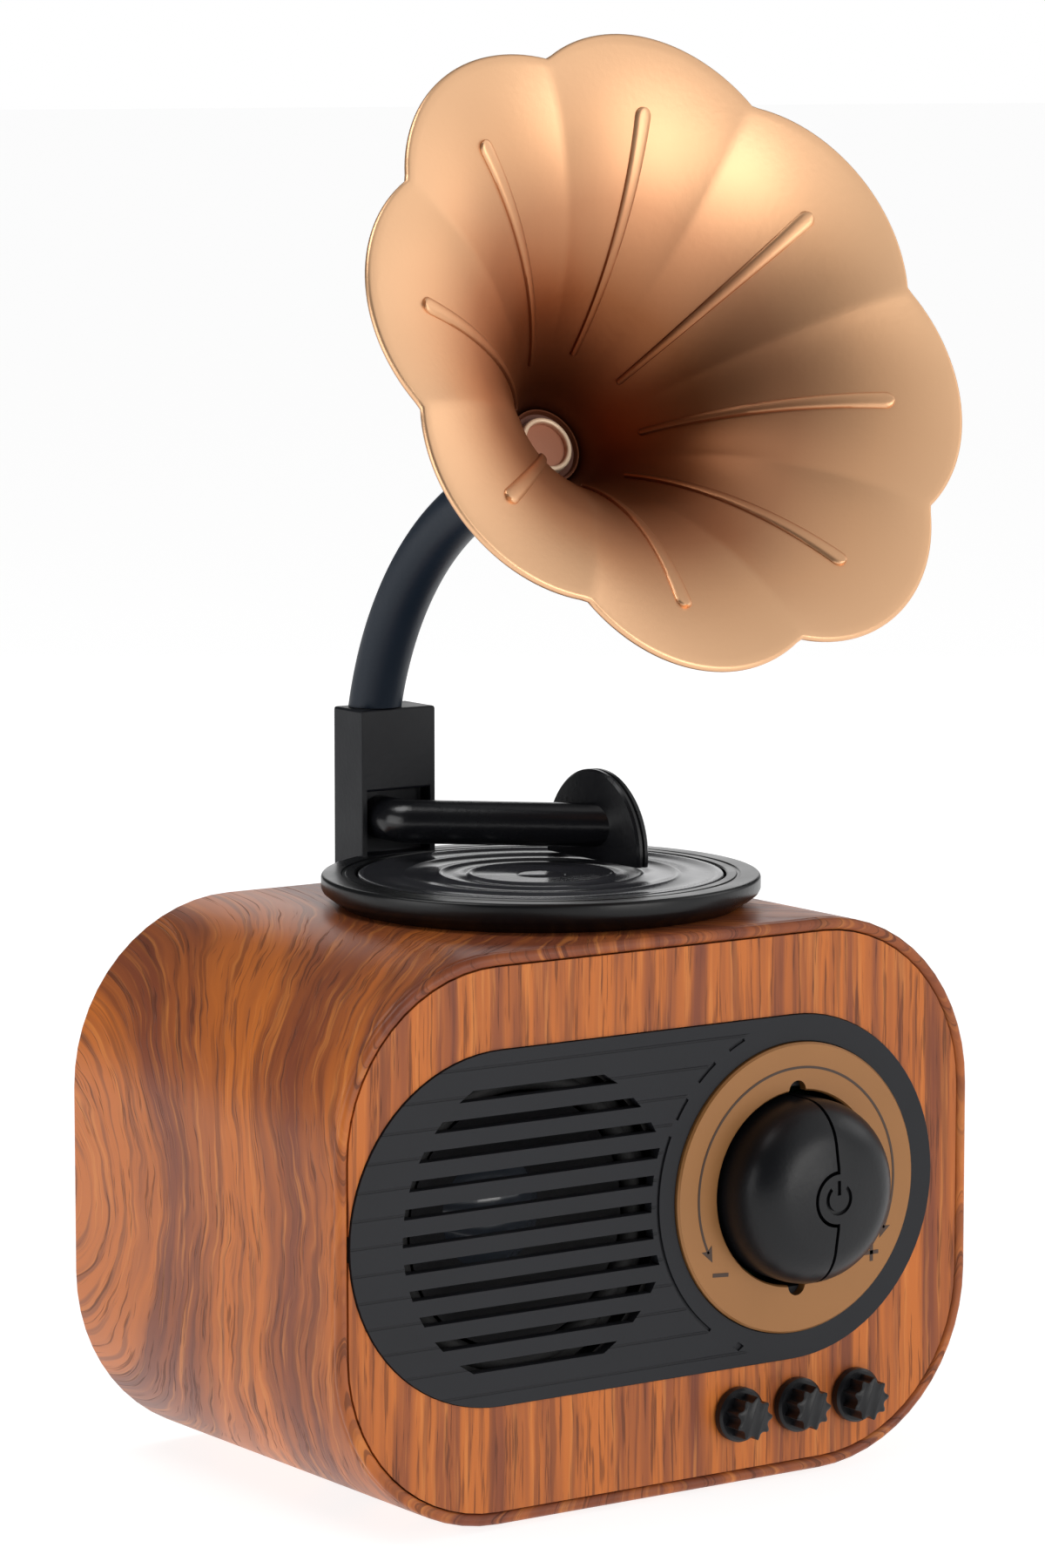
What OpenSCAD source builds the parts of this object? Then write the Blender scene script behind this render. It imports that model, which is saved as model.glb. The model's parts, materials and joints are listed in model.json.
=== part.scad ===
// Small table loudspeaker in the shape of an old horn gramophone.
// Origin: centre of the rubber pad's underside. +Z is up, the front faces -Y, +X is to the right.

/* [Cabinet] */
// Width of the cabinet
cabinet_w = 94.5; // [92:0.5:98]
// Height of the cabinet's top above the table
cabinet_top = 70; // [69:0.5:72]
// Depth of the cabinet, front to back
cabinet_d = 61.6; // [61:0.2:64]
// Radius of the cabinet's four long corners
corner_r = 22.9; // [22:0.1:24]
// Thickness of the cabinet's wall
wall = 2.4; // [2.2:0.1:2.6]
// Width of the rolled lip round the front panel and the rear cover
lip = 1.5; // [1.3:0.1:1.7]
// Thickness of the rubber pad under the cabinet
pad_t = 0.6; // [0.5:0.1:1]

/* [Front] */
// Thickness of the front panel
panel_t = 3; // [2.8:0.1:3.4]
// Half height of the long round-ended grille panel
grille_r = 21.6; // [21:0.1:22]
// Height of the grille, the dial and the driver above the table
grille_z = 36.8; // [36:0.1:37.5]
// Distance of the grille's left round end from the middle
grille_left = 24; // [23:0.1:25]
// Distance of the dial from the middle
dial_x = 19.8; // [19.5:0.1:20.5]
// Outer radius of the bronze dial ring
ring_r = 18.2; // [17.5:0.1:18.5]
// Radius of the big dial knob
dial_r = 11.5; // [11:0.1:11.6]
// Depth of the big dial knob, from its back edge to its face
dial_len = 11.4; // [11:0.1:12.6]
// Number of sound slots
slot_count = 11; // [9:2:11]
// Distance from slot to slot
slot_pitch = 3.3; // [3.1:0.1:3.3]
// Height of one slot
slot_h = 1.25; // [1:0.05:1.4]
// Radius of the round field of slots
slot_field_r = 19.6; // [19:0.1:20]
// Distance of the driver from the middle
driver_x = 19.6; // [19.4:0.1:19.8]
// Height of the three small knobs above the table
tone_z = 9.4; // [9:0.1:10]
// Place of the middle small knob
tone_x = 20.3; // [20:0.1:20.5]
// Distance from small knob to small knob
tone_pitch = 9.1; // [8.8:0.1:9.2]

/* [Turntable] */
// Place of the turntable to the right of the middle
deck_x = 3.1; // [2.8:0.1:4.8]
// Radius of the turntable's base
deck_r = 27.6; // [27:0.1:28]
// Height of the turntable's rim above the cabinet
deck_h = 3.9; // [3.6:0.1:4]
// Radius of the record
record_r = 23; // [22:0.1:23]
// Width of the post
post_w = 11.2; // [10.8:0.1:11.4]
// Depth of the post
post_d = 6.8; // [6.4:0.1:6.8]
// Height of the post above the cabinet
post_h = 22.7; // [22:0.1:23.4]
// Radius of the tonearm
arm_r = 2.8; // [2.4:0.1:2.9]
// Radius of the half-round sound box on the end of the tonearm
soundbox_r = 10.1; // [9:0.1:10.3]

/* [Horn] */
// Radius of the bent horn tube
tube_r = 3.4; // [3:0.1:3.5]
// Radius of the tube's bend, along its middle
bend_r = 42.5; // [41:0.5:44]
// Upward tilt of the horn in degrees
horn_tilt = 26.7; // [25:0.1:29]
// Radius of the bell's throat
throat_r = 4.9; // [4.6:0.1:5.2]
// Radius of the bell's curved wall, in a lengthwise section
flare_r = 47.5; // [46:0.1:48]
// Thickness of the bell's wall
bell_t = 1; // [0.8:0.1:1.2]
// Number of lobes on the bell
lobe_count = 8; // [8:1:8]

/* [Hidden] */
$fn = 64;

e = 0.5;                 // how far a cutter reaches past the face that it cuts
gap = 0.1;               // gap round a part that drops into another
run = 0.05;              // radial clearance of a running fit
front_y = -cabinet_d / 2;
back_y = cabinet_d / 2;
cabinet_h = cabinet_top - pad_t;
mid_z = pad_t + cabinet_h / 2;
floor_z = pad_t + wall;
inset = 0.3;             // the front panel and the rear cover sit this far behind the lip
face_y = front_y + inset;
panel_back = face_y + panel_t;
recess = 1.2;            // depth of the grille's seat in the front panel
grille_front = face_y - 0.3;
grille_t = recess + 0.3;
cover_t = 2;
cover_front = back_y - inset - cover_t;
boss_reach = 17.7;       // distance of a cover screw from the middle of its corner
boss_x = cabinet_w / 2 - corner_r + boss_reach * cos(45);
boss_dz = cabinet_h / 2 - corner_r + boss_reach * cos(45);

dial_hole_r = 12.2;
ring_t = 1.2;
ring_front = grille_front - 0.6;
dial_back = -28.6;
dial_wall = 1.6;
shoulder = 6;            // radius of the dial knob's rounded shoulder
split_gap = 0.35;        // width of the groove between the two halves of the dial knob
power_r = 3.3;           // radius of the round bulge of the groove
shaft_r = 2;
plunger_r = 3.5;
board_front = -16;
board_t = 1.6;

tone_shaft_r = 1.5;
tone_back = face_y - 0.3;
tone_len = 3.6;

driver_hole_r = 19.8;
frame_w = 42;
frame_hole = 17.6;       // distance of a driver screw from the driver's middle, each way
flange_y = panel_back + 0.4;

battery_y = 10;
battery_r = 9;
battery_len = 50;
battery_z = floor_z + 1.2 + battery_r + 0.1;
main_z = floor_z + 21;
tray_posts = [[-21, -2], [21, -2], [-21, 22], [21, 22]];
port_z = main_z + board_t;

deck_z = cabinet_top + deck_h;
record_floor = cabinet_top + 2.1;
record_t = 1.5;
axle_r = 2;
post_x = -2.6;
post_front = 23.6;
post_y = post_front + post_d / 2;
post_top = cabinet_top + post_h;
arm_z = cabinet_top + 8.6;
arm_from = [-4.2, 20.4];
arm_to = [13.6, 3.8];
arm_pin_r = 1.5;
door_wall = 0.8;         // thickness of the post beside the doorway that the arm goes into
door_in = 2.2;           // depth of the doorway
door_top = arm_z + arm_r + 0.8;
soundbox_z = deck_z + 1.7;
soundbox_foot = deck_z + 0.3;
soundbox_t = 1.8;

spigot_x = -4;
spigot_y = 26.9;
spigot_r = 2.5;
spigot_foot = post_top - 8.7;
bend_y = spigot_y - bend_r * cos(15);
bend_z = post_top + 0.6 - bend_r * sin(15);
bend_end = 90 - horn_tilt;
tube_end = [bend_y + bend_r * cos(bend_end), bend_z + bend_r * sin(bend_end)];
tube_run = 17.2;         // length of the straight stretch between the bend and the throat
throat_y = tube_end[0] - tube_run * cos(horn_tilt);
throat_z = tube_end[1] + tube_run * sin(horn_tilt);
cap_seat = 0.4;          // depth of the throat cap's foot, down to the top of the collar
flare_from = 20;         // slope of the bell's wall at the throat
flare_to = 80;           // slope of the bell's wall at the rim
lobe_off = 21.3;
lobe_r = 20.1;
lobe_turn = -12.9;       // turn of the lobes round the horn's middle line

// ---------- shapes that repeat ----------

module rounded_rect(w, h, r) {
    square([w - 2 * r, h], center = true);
    square([w, h - 2 * r], center = true);
    for (x = [-1, 1], y = [-1, 1]) translate([x * (w / 2 - r), y * (h / 2 - r)]) circle(r);
}

// A flat outline in X and Z, made into a slab from y to y + t
module slab(y, t) {
    translate([0, y + t, 0]) rotate([90, 0, 0]) linear_extrude(t) children();
}

// A round rod along Y from y to y + len
module rod_y(x, z, y, len, r) {
    translate([x, y + len, z]) rotate([90, 0, 0]) cylinder(h = len, r = r);
}

// Turns a profile round an axis along Y; the profile's height runs towards the front from y
module turned_y(x, y, z) {
    translate([x, y, z]) rotate([90, 0, 0]) rotate_extrude() children();
}

module ring_y(x, z, y, len, r_out, r_in) {
    difference() {
        rod_y(x, z, y, len, r_out);
        rod_y(x, z, y - e, len + 2 * e, r_in);
    }
}

module cabinet_outline(in) {
    translate([0, mid_z]) rounded_rect(cabinet_w - 2 * in, cabinet_h - 2 * in, corner_r - in);
}

module grille_outline(r) {
    translate([-grille_left, grille_z - r]) square([grille_left + dial_x, 2 * r]);
    translate([-grille_left, grille_z]) circle(r);
    translate([dial_x, grille_z]) circle(r);
}

// A lead through the given points, round at each corner
module lead(points, r) {
    for (i = [0 : len(points) - 2]) {
        d = points[i + 1] - points[i];
        l = norm(d);
        translate(points[i]) rotate([0, acos(d[2] / l), atan2(d[1], d[0])]) cylinder(h = l, r = r);
        if (i > 0) translate(points[i]) sphere(r + 0.05);
    }
}

// ---------- cabinet ----------

module cabinet_shell() {
    color("peru") difference() {
        union() {
            difference() {
                slab(front_y, cabinet_d) cabinet_outline(0);
                slab(front_y - e, cabinet_d + 2 * e) cabinet_outline(wall);
                slab(front_y - e, e + inset + panel_t) cabinet_outline(lip);
                slab(cover_front, cover_t + inset + e) cabinet_outline(lip);
            }
            for (x = [-1, 1], z = [-1, 1])
                rod_y(x * boss_x, mid_z + z * boss_dz, cover_front - 12, 12, 3.4);
        }
        for (x = [-1, 1], z = [-1, 1])
            rod_y(x * boss_x, mid_z + z * boss_dz, cover_front - 9, 9 + e, 1.25);
        translate([deck_x, 0, cabinet_top - wall - e]) cylinder(h = wall + 2 * e, r = 2.6);
        for (a = [90, 210, 330]) translate([deck_x + 14 * cos(a), 14 * sin(a), cabinet_top - wall - e])
            cylinder(h = wall + 2 * e, r = 1.3);
        for (x = [-3, 3]) translate([post_x + x, post_y, cabinet_top - wall - e])
            cylinder(h = wall + 2 * e, r = 1.3);
    }
}

module front_panel() {
    color("chocolate") difference() {
        union() {
            slab(face_y, panel_t) cabinet_outline(lip + gap);
            for (p = board_posts()) rod_y(p[0], p[1], panel_back - e, board_front - panel_back + e, 2);
        }
        slab(face_y - e, recess + e) grille_outline(grille_r + gap);
        rod_y(-driver_x, grille_z, face_y, panel_t + e, driver_hole_r);
        rod_y(dial_x, grille_z, face_y, panel_t + e, dial_hole_r + 0.4);
        for (i = [-1 : 1]) rod_y(tone_x + i * tone_pitch, tone_z, face_y - e, panel_t + 2 * e, 1.9);
        for (x = [-1, 1], z = [-1, 1])
            rod_y(x * frame_hole - driver_x, grille_z + z * frame_hole, panel_back - 1.6, 1.6 + e, 1);
        for (p = board_posts()) rod_y(p[0], p[1], board_front - 6, 6 + e, 1);
    }
}

function board_posts() = [[8, 50], [31, 50], [8, 16.5], [31, 16.5]];

module rear_cover() {
    color("sienna") difference() {
        slab(cover_front, cover_t) cabinet_outline(lip + gap);
        for (x = [-1, 1], z = [-1, 1]) {
            rod_y(x * boss_x, mid_z + z * boss_dz, cover_front - e, cover_t + 2 * e, 1.5);
            rod_y(x * boss_x, mid_z + z * boss_dz, cover_front + 0.8, cover_t, 2.8);
        }
        translate([-19.7, cover_front - e, port_z - 0.2]) cube([9.4, cover_t + 2 * e, 3.6]);
        translate([-6.3, cover_front - e, port_z - 0.2]) cube([12.6, cover_t + 2 * e, 2]);
        rod_y(15, port_z + 2.5, cover_front - e, cover_t + 2 * e, 3.1);
        rod_y(23, port_z + 2.5, cover_front - e, cover_t + 2 * e, 1.6);
        rod_y(-25, port_z + 2.5, cover_front - e, cover_t + 2 * e, 0.8);
    }
}

module rear_cover_screws() {
    color("dimgray") for (x = [-1, 1], z = [-1, 1]) difference() {
        union() {
            rod_y(x * boss_x, mid_z + z * boss_dz, cover_front - 7, 7.9, 1.2);
            rod_y(x * boss_x, mid_z + z * boss_dz, cover_front + 0.8, 1.1, 2.4);
        }
        for (a = [0, 90]) translate([x * boss_x, cover_front + 1.9, mid_z + z * boss_dz])
            rotate([0, a, 0]) cube([3, 1.2, 0.5], center = true);
    }
}

module base_pad() {
    color("black") linear_extrude(pad_t) rounded_rect(44, 48, 5);
}

// ---------- grille and dial ----------

module slot_field() {
    difference() {
        intersection() {
            translate([1 - driver_x, grille_z]) circle(slot_field_r);
            for (i = [0 : slot_count - 1])
                translate([-60, grille_z + (i - (slot_count - 1) / 2) * slot_pitch - slot_h / 2])
                    square([80, slot_h]);
        }
        translate([dial_x, grille_z]) circle(grille_r);
    }
}

module grille_panel() {
    color("darkslategray") difference() {
        slab(grille_front, grille_t) grille_outline(grille_r);
        slab(grille_front - e, grille_t + 2 * e) slot_field();
        rod_y(dial_x, grille_z, grille_front - e, 0.6 + e, ring_r + gap);
        rod_y(dial_x, grille_z, grille_front - e, grille_t + 2 * e, dial_hole_r + 0.4);
    }
}

module dial_ring() {
    color("darkgoldenrod") difference() {
        rod_y(dial_x, grille_z, ring_front, ring_t, ring_r);
        rod_y(dial_x, grille_z, ring_front - e, ring_t + 2 * e, dial_hole_r);
        for (z = [-1, 1]) rod_y(dial_x, grille_z + z * dial_hole_r, ring_front - e, ring_t + 2 * e, 1.3);
    }
}

module dial_solid() {
    turned_y(dial_x, dial_back, grille_z) difference() {
        polygon(concat([[0, 0], [dial_r, 0]],
            [for (a = [0 : 15 : 90])
                [dial_r - shoulder + shoulder * cos(a), dial_len - 0.5 - shoulder + shoulder * sin(a)]],
            [[dial_r / 3, dial_len - 0.1], [0, dial_len]]));
        polygon(concat([[plunger_r, -e], [dial_r - dial_wall, -e]],
            [for (a = [0 : 30 : 90]) [dial_r - shoulder - 1 + (shoulder - 0.6) * cos(a),
                dial_len - 0.5 - shoulder - 1 + (shoulder - 0.6) * sin(a)]],
            [[plunger_r, dial_len - 2.2]]));
    }
}

// The right-hand side of the dial's groove, with the round bulge to the left
module dial_right_side(grow) {
    translate([dial_x - grow, dial_back - dial_len - e, grille_z - dial_r - e])
        cube([dial_r + 1, dial_len + 2 * e, 2 * dial_r + 2 * e]);
    rod_y(dial_x, grille_z, dial_back - dial_len - e, 4, power_r + grow);
}

module dial_knob_left() {
    color("black") difference() {
        dial_solid();
        dial_right_side(split_gap / 2);
        rod_y(dial_x, grille_z, dial_back - 9, 9 + e, shaft_r);
    }
}

module dial_knob_right() {
    color("black") difference() {
        intersection() {
            dial_solid();
            dial_right_side(-split_gap / 2);
        }
        rod_y(dial_x, grille_z, dial_back - 9, 9 + e, shaft_r);
    }
}

module dial_shaft() {
    color("silver") rod_y(dial_x, grille_z, dial_back - 9, 17.5, shaft_r);
}

module dial_plunger() {
    color("ivory") difference() {
        rod_y(dial_x, grille_z, -26, 7, plunger_r - run);
        rod_y(dial_x, grille_z, -26 - e, 6 + e, shaft_r + run);
    }
}

module dial_housing() {
    color("gray") difference() {
        translate([dial_x - 7, -25, grille_z - 7]) cube([14, board_front + 25, 14]);
        rod_y(dial_x, grille_z, -25 - e, board_front + 25 + 2 * e, plunger_r);
    }
}

module power_switch() {
    color("darkgray") {
        rod_y(dial_x, grille_z, board_front - 1.6, 1.6, 3);
        rod_y(dial_x, grille_z, board_front - 2, 0.6, 1.5);
    }
}

// ---------- three small knobs ----------

module tone_knob(i) {
    color("black") difference() {
        union() {
            rod_y(tone_x + i * tone_pitch, tone_z, tone_back - 1.2, 1.2, 3.4);
            slab(tone_back - tone_len, tone_len) translate([tone_x + i * tone_pitch, tone_z]) {
                circle(2.3);
                for (a = [0 : 40 : 320]) rotate(a) translate([2.2, 0]) circle(0.55, $fn = 24);
            }
        }
        rod_y(tone_x + i * tone_pitch, tone_z, tone_back - 2, 2 + e, tone_shaft_r);
    }
}

module tone_shaft(i) {
    color("silver") rod_y(tone_x + i * tone_pitch, tone_z, tone_back - 2, 15.4, tone_shaft_r);
}

module tone_knob_left() tone_knob(-1);
module tone_knob_middle() tone_knob(0);
module tone_knob_right() tone_knob(1);
module tone_shaft_left() tone_shaft(-1);
module tone_shaft_middle() tone_shaft(0);
module tone_shaft_right() tone_shaft(1);

module tone_pots() {
    color("slategray") for (i = [-1 : 1]) difference() {
        union() {
            translate([tone_x + i * tone_pitch - 3.6, -23, tone_z - 3.6])
                cube([7.2, board_front + 23, 7.2]);
            rod_y(tone_x + i * tone_pitch, tone_z, -25.5, 3, 2.7);
        }
        rod_y(tone_x + i * tone_pitch, tone_z, -25.5 - e, 8.6 + e, tone_shaft_r + run);
    }
}

module control_board() {
    color("darkgreen") difference() {
        translate([5.5, board_front, 5.6]) cube([28, board_t, 47]);
        for (p = board_posts()) rod_y(p[0], p[1], board_front - e, board_t + 2 * e, 1.1);
    }
}

module control_board_screws() {
    color("silver") for (p = board_posts()) {
        rod_y(p[0], p[1], board_front - 5, 5 + board_t, 0.95);
        rod_y(p[0], p[1], board_front + board_t, 1, 1.8);
    }
}

// ---------- loudspeaker driver ----------

module driver_at(y) {
    turned_y(-driver_x, y, grille_z) children();
}

module frame_outline(hole) {
    translate([-driver_x, grille_z]) difference() {
        rounded_rect(frame_w, frame_w, 4);
        circle(hole);
        for (x = [-1, 1], z = [-1, 1]) translate([x * frame_hole, z * frame_hole]) circle(1.2);
    }
}

module driver_gasket() {
    color("dimgray") slab(panel_back, 0.4) frame_outline(driver_hole_r);
}

module driver_frame() {
    color("silver") difference() {
        union() {
            slab(flange_y, 1) frame_outline(18.4);
            driver_at(flange_y + 9) difference() {
                polygon([[8, 0], [13, 0], [19.2, 8.2], [18.4, 8.2], [12.6, 1], [8, 1]]);
            }
        }
        for (a = [45 : 90 : 315]) translate([-driver_x, flange_y + 4.6, grille_z]) rotate([0, a, 0])
            translate([16, 0, 0]) cube([10, 4.4, 13], center = true);
    }
}

module driver_surround() {
    color("black") driver_at(flange_y) {
        difference() {
            translate([17.1, 0]) circle(1.3);
            translate([17.1, 0]) circle(0.9);
            translate([14, -3]) square([6, 3]);
        }
        translate([18.2, 0]) square([1.3, 0.3]);
    }
}

module driver_cone() {
    color("dimgray") driver_at(flange_y)
        polygon([[7, -5.2], [7.2, -5.6], [15.4, -0.4], [15.4, 0.3]]);
}

module dust_cap() {
    color("gray") intersection() {
        difference() {
            translate([-driver_x, flange_y + 5.2 + 8.5, grille_z]) sphere(11);
            translate([-driver_x, flange_y + 5.2 + 8.5, grille_z]) sphere(10.6);
        }
        rod_y(-driver_x, grille_z, flange_y, 5.2, 7);
    }
}

module voice_coil() {
    color("orange") ring_y(-driver_x, grille_z, flange_y + 5.2, 6.6, 6.9, 6.5);
}

module driver_spider() {
    color("goldenrod") ring_y(-driver_x, grille_z, flange_y + 7.2, 0.4, 12.9, 7.3);
}

module magnet_front_plate() {
    color("silver") ring_y(-driver_x, grille_z, flange_y + 9, 1.5, 12, 7.3);
}

module magnet_ring() {
    color("darkgray") ring_y(-driver_x, grille_z, flange_y + 10.5, 4.5, 12.6, 8);
}

module magnet_back_plate() {
    color("silver") {
        rod_y(-driver_x, grille_z, flange_y + 15, 1.5, 12);
        rod_y(-driver_x, grille_z, flange_y + 9.2, 6, 6.1);
    }
}

module driver_screws() {
    color("black") for (x = [-1, 1], z = [-1, 1]) {
        rod_y(x * frame_hole - driver_x, grille_z + z * frame_hole, panel_back - 1.4, 2.8, 0.95);
        rod_y(x * frame_hole - driver_x, grille_z + z * frame_hole, flange_y + 1, 1, 1.9);
    }
}

// ---------- battery and main board ----------

module battery_tray() {
    color("black") difference() {
        union() {
            translate([-23.4, -4.2, floor_z]) cube([46.8, 28.4, 1.2]);
            for (x = [-15, 15]) translate([x - 1.5, battery_y - 10, floor_z]) cube([3, 20, 8]);
            for (p = tray_posts) translate([p[0], p[1], floor_z]) cylinder(h = 21, r = 1.9);
        }
        translate([-30, battery_y, battery_z]) rotate([0, 90, 0]) cylinder(h = 60, r = battery_r);
        for (p = tray_posts) translate([p[0], p[1], main_z - 6]) cylinder(h = 6 + e, r = 0.9);
    }
}

module battery() {
    color("royalblue") translate([-battery_len / 2, battery_y, battery_z]) rotate([0, 90, 0]) {
        cylinder(h = battery_len, r = battery_r);
        cylinder(h = battery_len + 1, r = 3);
    }
}

module battery_strap() {
    color("gold") difference() {
        union() {
            translate([-2, battery_y, battery_z]) rotate([0, 90, 0]) cylinder(h = 4, r = battery_r + 0.6);
            translate([-2, battery_y - battery_r - 0.6, floor_z + 1.2])
                cube([4, 2 * battery_r + 1.2, battery_z - floor_z - 1.2]);
        }
        translate([-3, battery_y, battery_z]) rotate([0, 90, 0]) cylinder(h = 6, r = battery_r);
        translate([-3, battery_y - battery_r, floor_z]) cube([6, 2 * battery_r, battery_z - floor_z]);
    }
}

module main_board() {
    color("darkgreen") difference() {
        translate([-27, -4, main_z]) cube([54, 30.4, board_t]);
        for (p = tray_posts) translate([p[0], p[1], main_z - e]) cylinder(h = board_t + 2 * e, r = 1);
    }
}

module main_board_screws() {
    color("silver") for (p = tray_posts) {
        translate([p[0], p[1], main_z - 5]) cylinder(h = 5 + board_t, r = 0.85);
        translate([p[0], p[1], port_z]) cylinder(h = 0.9, r = 1.7);
    }
}

module circuit_chips() {
    color("black") {
        translate([-6, 3, port_z]) cube([8, 8, 1.2]);
        translate([7, 2, port_z]) cube([5, 6, 1.2]);
        for (x = [-14, 14]) translate([x, 9, port_z]) cylinder(h = 5, r = 2.4);
    }
}

module charging_socket() {
    color("silver") difference() {
        translate([-19.5, 23, port_z]) cube([9, 7.4, 3.2]);
        translate([-19.1, 24, port_z + 0.4]) cube([8.2, 7, 2.4]);
    }
    color("black") translate([-18.2, 23.5, port_z + 1.25]) cube([6.4, 5.5, 0.7]);
}

module audio_jack() {
    color("black") difference() {
        union() {
            translate([11.7, 17, port_z]) cube([6.6, cover_front - 17, 5]);
            rod_y(15, port_z + 2.5, cover_front - e, cover_t + e, 3);
        }
        rod_y(15, port_z + 2.5, 17.9, 14, 1.8);
    }
}

module card_slot() {
    color("silver") difference() {
        translate([-6.1, 16, port_z]) cube([12.2, 14.2, 1.6]);
        translate([-5.6, 17, port_z + 0.4]) cube([11.2, 14, 0.8]);
    }
}

module status_lamp() {
    color("deepskyblue") {
        rod_y(23, port_z + 2.5, 25.4, 5, 1.5);
        translate([21.6, 23.8, port_z]) cube([2.8, 2, 4]);
    }
}

module microphone() {
    color("silver") {
        rod_y(-25, port_z + 2.5, cover_front - 2, 2, 2);
        translate([-25.6, cover_front - 3, port_z]) cube([1.2, 1, 4]);
    }
}

module speaker_leads() {
    color("red") for (x = [-1, 1])
        lead([[x * 1.5 - 28, flange_y + 9.6, 50], [x * 1.5 - 28, -6, 54], [x * 1.5 - 20, 4, 40],
            [x * 1.5 - 20, 4, port_z]], 0.6);
}

module battery_leads() {
    color("darkred") for (y = [0.6, 3.4])
        translate([0, battery_y + y, 0]) rotate([90, 0, 0]) linear_extrude(1.2)
            polygon([[battery_len / 2 + 1, battery_z - 0.6], [31.6, battery_z - 0.6], [31.6, port_z + 3.2],
                [24.4, port_z + 3.2], [24.4, port_z], [25.6, port_z], [25.6, port_z + 2],
                [30.4, port_z + 2], [30.4, battery_z + 0.6], [battery_len / 2 + 1, battery_z + 0.6]]);
}

module control_leads() {
    color("gray") translate([12, 0, 0]) rotate([90, 0, 90]) linear_extrude(6)
        polygon([[board_front + board_t, port_z + 3.4], [-7, port_z + 3.4], [-1.4, port_z + 1.6],
            [-1.4, port_z], [-2, port_z], [-2, port_z + 1.2], [-7.2, port_z + 2.8],
            [board_front + board_t, port_z + 2.8]]);
}

// ---------- turntable ----------

module deck_disc() {
    color("black") difference() {
        translate([deck_x, 0, cabinet_top]) rotate_extrude()
            polygon([[axle_r + run, 0], [deck_r - 2.6, 0], [deck_r - 0.2, 1.7], [deck_r, 2.1],
                [deck_r, deck_h - 0.5], [deck_r - 0.5, deck_h], [record_r + 0.3, deck_h],
                [record_r + 0.3, 2.1], [axle_r + run, 2.1]]);
        translate([post_x - post_w / 2 - gap, post_front - gap, cabinet_top - e])
            cube([post_w + 2 * gap, post_d + 9, deck_h + 2 * e]);
        for (a = [90, 210, 330]) translate([deck_x + 14 * cos(a), 14 * sin(a), cabinet_top - e])
            cylinder(h = 1.5 + e, r = 1);
    }
}

module deck_screws() {
    color("silver") for (a = [90, 210, 330])
        translate([deck_x + 14 * cos(a), 14 * sin(a), cabinet_top - wall - 1]) {
            cylinder(h = 1, r = 2);
            cylinder(h = wall + 2.3, r = 0.95);
        }
}

module record() {
    color("black") translate([deck_x, 0, record_floor + 0.3]) difference() {
        rotate_extrude() polygon([[0, 0], [record_r, 0], [record_r, record_t],
            [record_r - 1, record_t], [record_r - 1.4, record_t - 0.3], [18.2, record_t - 0.3],
            [17.8, record_t], [16.8, record_t], [16.4, record_t - 0.3], [13.6, record_t - 0.3],
            [13.2, record_t], [12.2, record_t], [11.8, record_t - 0.3], [9.9, record_t - 0.3],
            [9.5, record_t], [8.5, record_t], [8.1, record_t - 0.3], [0, record_t - 0.3]]);
        translate([0, 0, -e]) cylinder(h = 0.8 + e, r = axle_r);
    }
}

module record_axle() {
    color("silver") translate([deck_x, 0, 0]) difference() {
        translate([0, 0, cabinet_top - 4.6]) cylinder(h = record_floor + 1.1 - cabinet_top + 4.6, r = axle_r);
        translate([0, 0, cabinet_top - 3.7]) difference() {
            cylinder(h = 0.5, r = 3);
            translate([0, 0, -e]) cylinder(h = 1.5, r = 1.5);
        }
    }
}

module axle_clip() {
    color("dimgray") translate([deck_x, 0, cabinet_top - 3.7]) difference() {
        cylinder(h = 0.5, r = 4);
        translate([0, 0, -e]) cylinder(h = 1.5, r = 1.5);
        translate([0, -1.3, -e]) cube([5, 2.6, 1.5]);
    }
}

module horn_post() {
    color("black") difference() {
        translate([post_x - post_w / 2, post_front, cabinet_top]) cube([post_w, post_d, post_h]);
        translate([spigot_x, spigot_y, spigot_foot - 0.5]) cylinder(h = 12, r = spigot_r + run);
        translate([post_x - post_w / 2 + door_wall, post_front - e, deck_z + 0.1])
            cube([post_w - 2 * door_wall, door_in + e, door_top - deck_z - 0.1]);
        rod_y(arm_from[0], arm_z, post_front, 6, arm_pin_r + run);
        for (x = [-3, 3]) translate([post_x + x, post_y, cabinet_top - e]) cylinder(h = 3.8 + e, r = 1);
    }
}

module post_screws() {
    color("silver") for (x = [-3, 3]) translate([post_x + x, post_y, cabinet_top - wall - 1]) {
        cylinder(h = 1, r = 1.4);
        cylinder(h = wall + 4.4, r = 0.95);
    }
}

module arm_bar(len, r) {
    d = arm_to - arm_from;
    translate([arm_from[0], arm_from[1], arm_z]) rotate([0, 90, atan2(d[1], d[0])])
        cylinder(h = len, r = r);
}

module tonearm() {
    color("black") difference() {
        union() {
            arm_bar(norm(arm_to - arm_from) + 4, arm_r);
            translate([arm_from[0], arm_from[1], arm_z]) sphere(arm_r);
            rod_y(arm_from[0], arm_z, arm_from[1], post_front + door_in - 0.3 - arm_from[1], arm_r);
            rod_y(arm_from[0], arm_z, arm_from[1], post_front + 5.9 - arm_from[1], arm_pin_r);
        }
        translate([arm_to[0], arm_to[1] - 10, arm_z - 10]) cube(20);
    }
}

module soundbox() {
    color("black") difference() {
        translate([arm_to[0], arm_to[1], soundbox_z]) rotate([0, 90, 0])
            cylinder(h = soundbox_t, r = soundbox_r);
        translate([arm_to[0] - 10, arm_to[1] - 15, soundbox_foot - 30]) cube(30);
    }
}

// ---------- horn ----------

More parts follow.
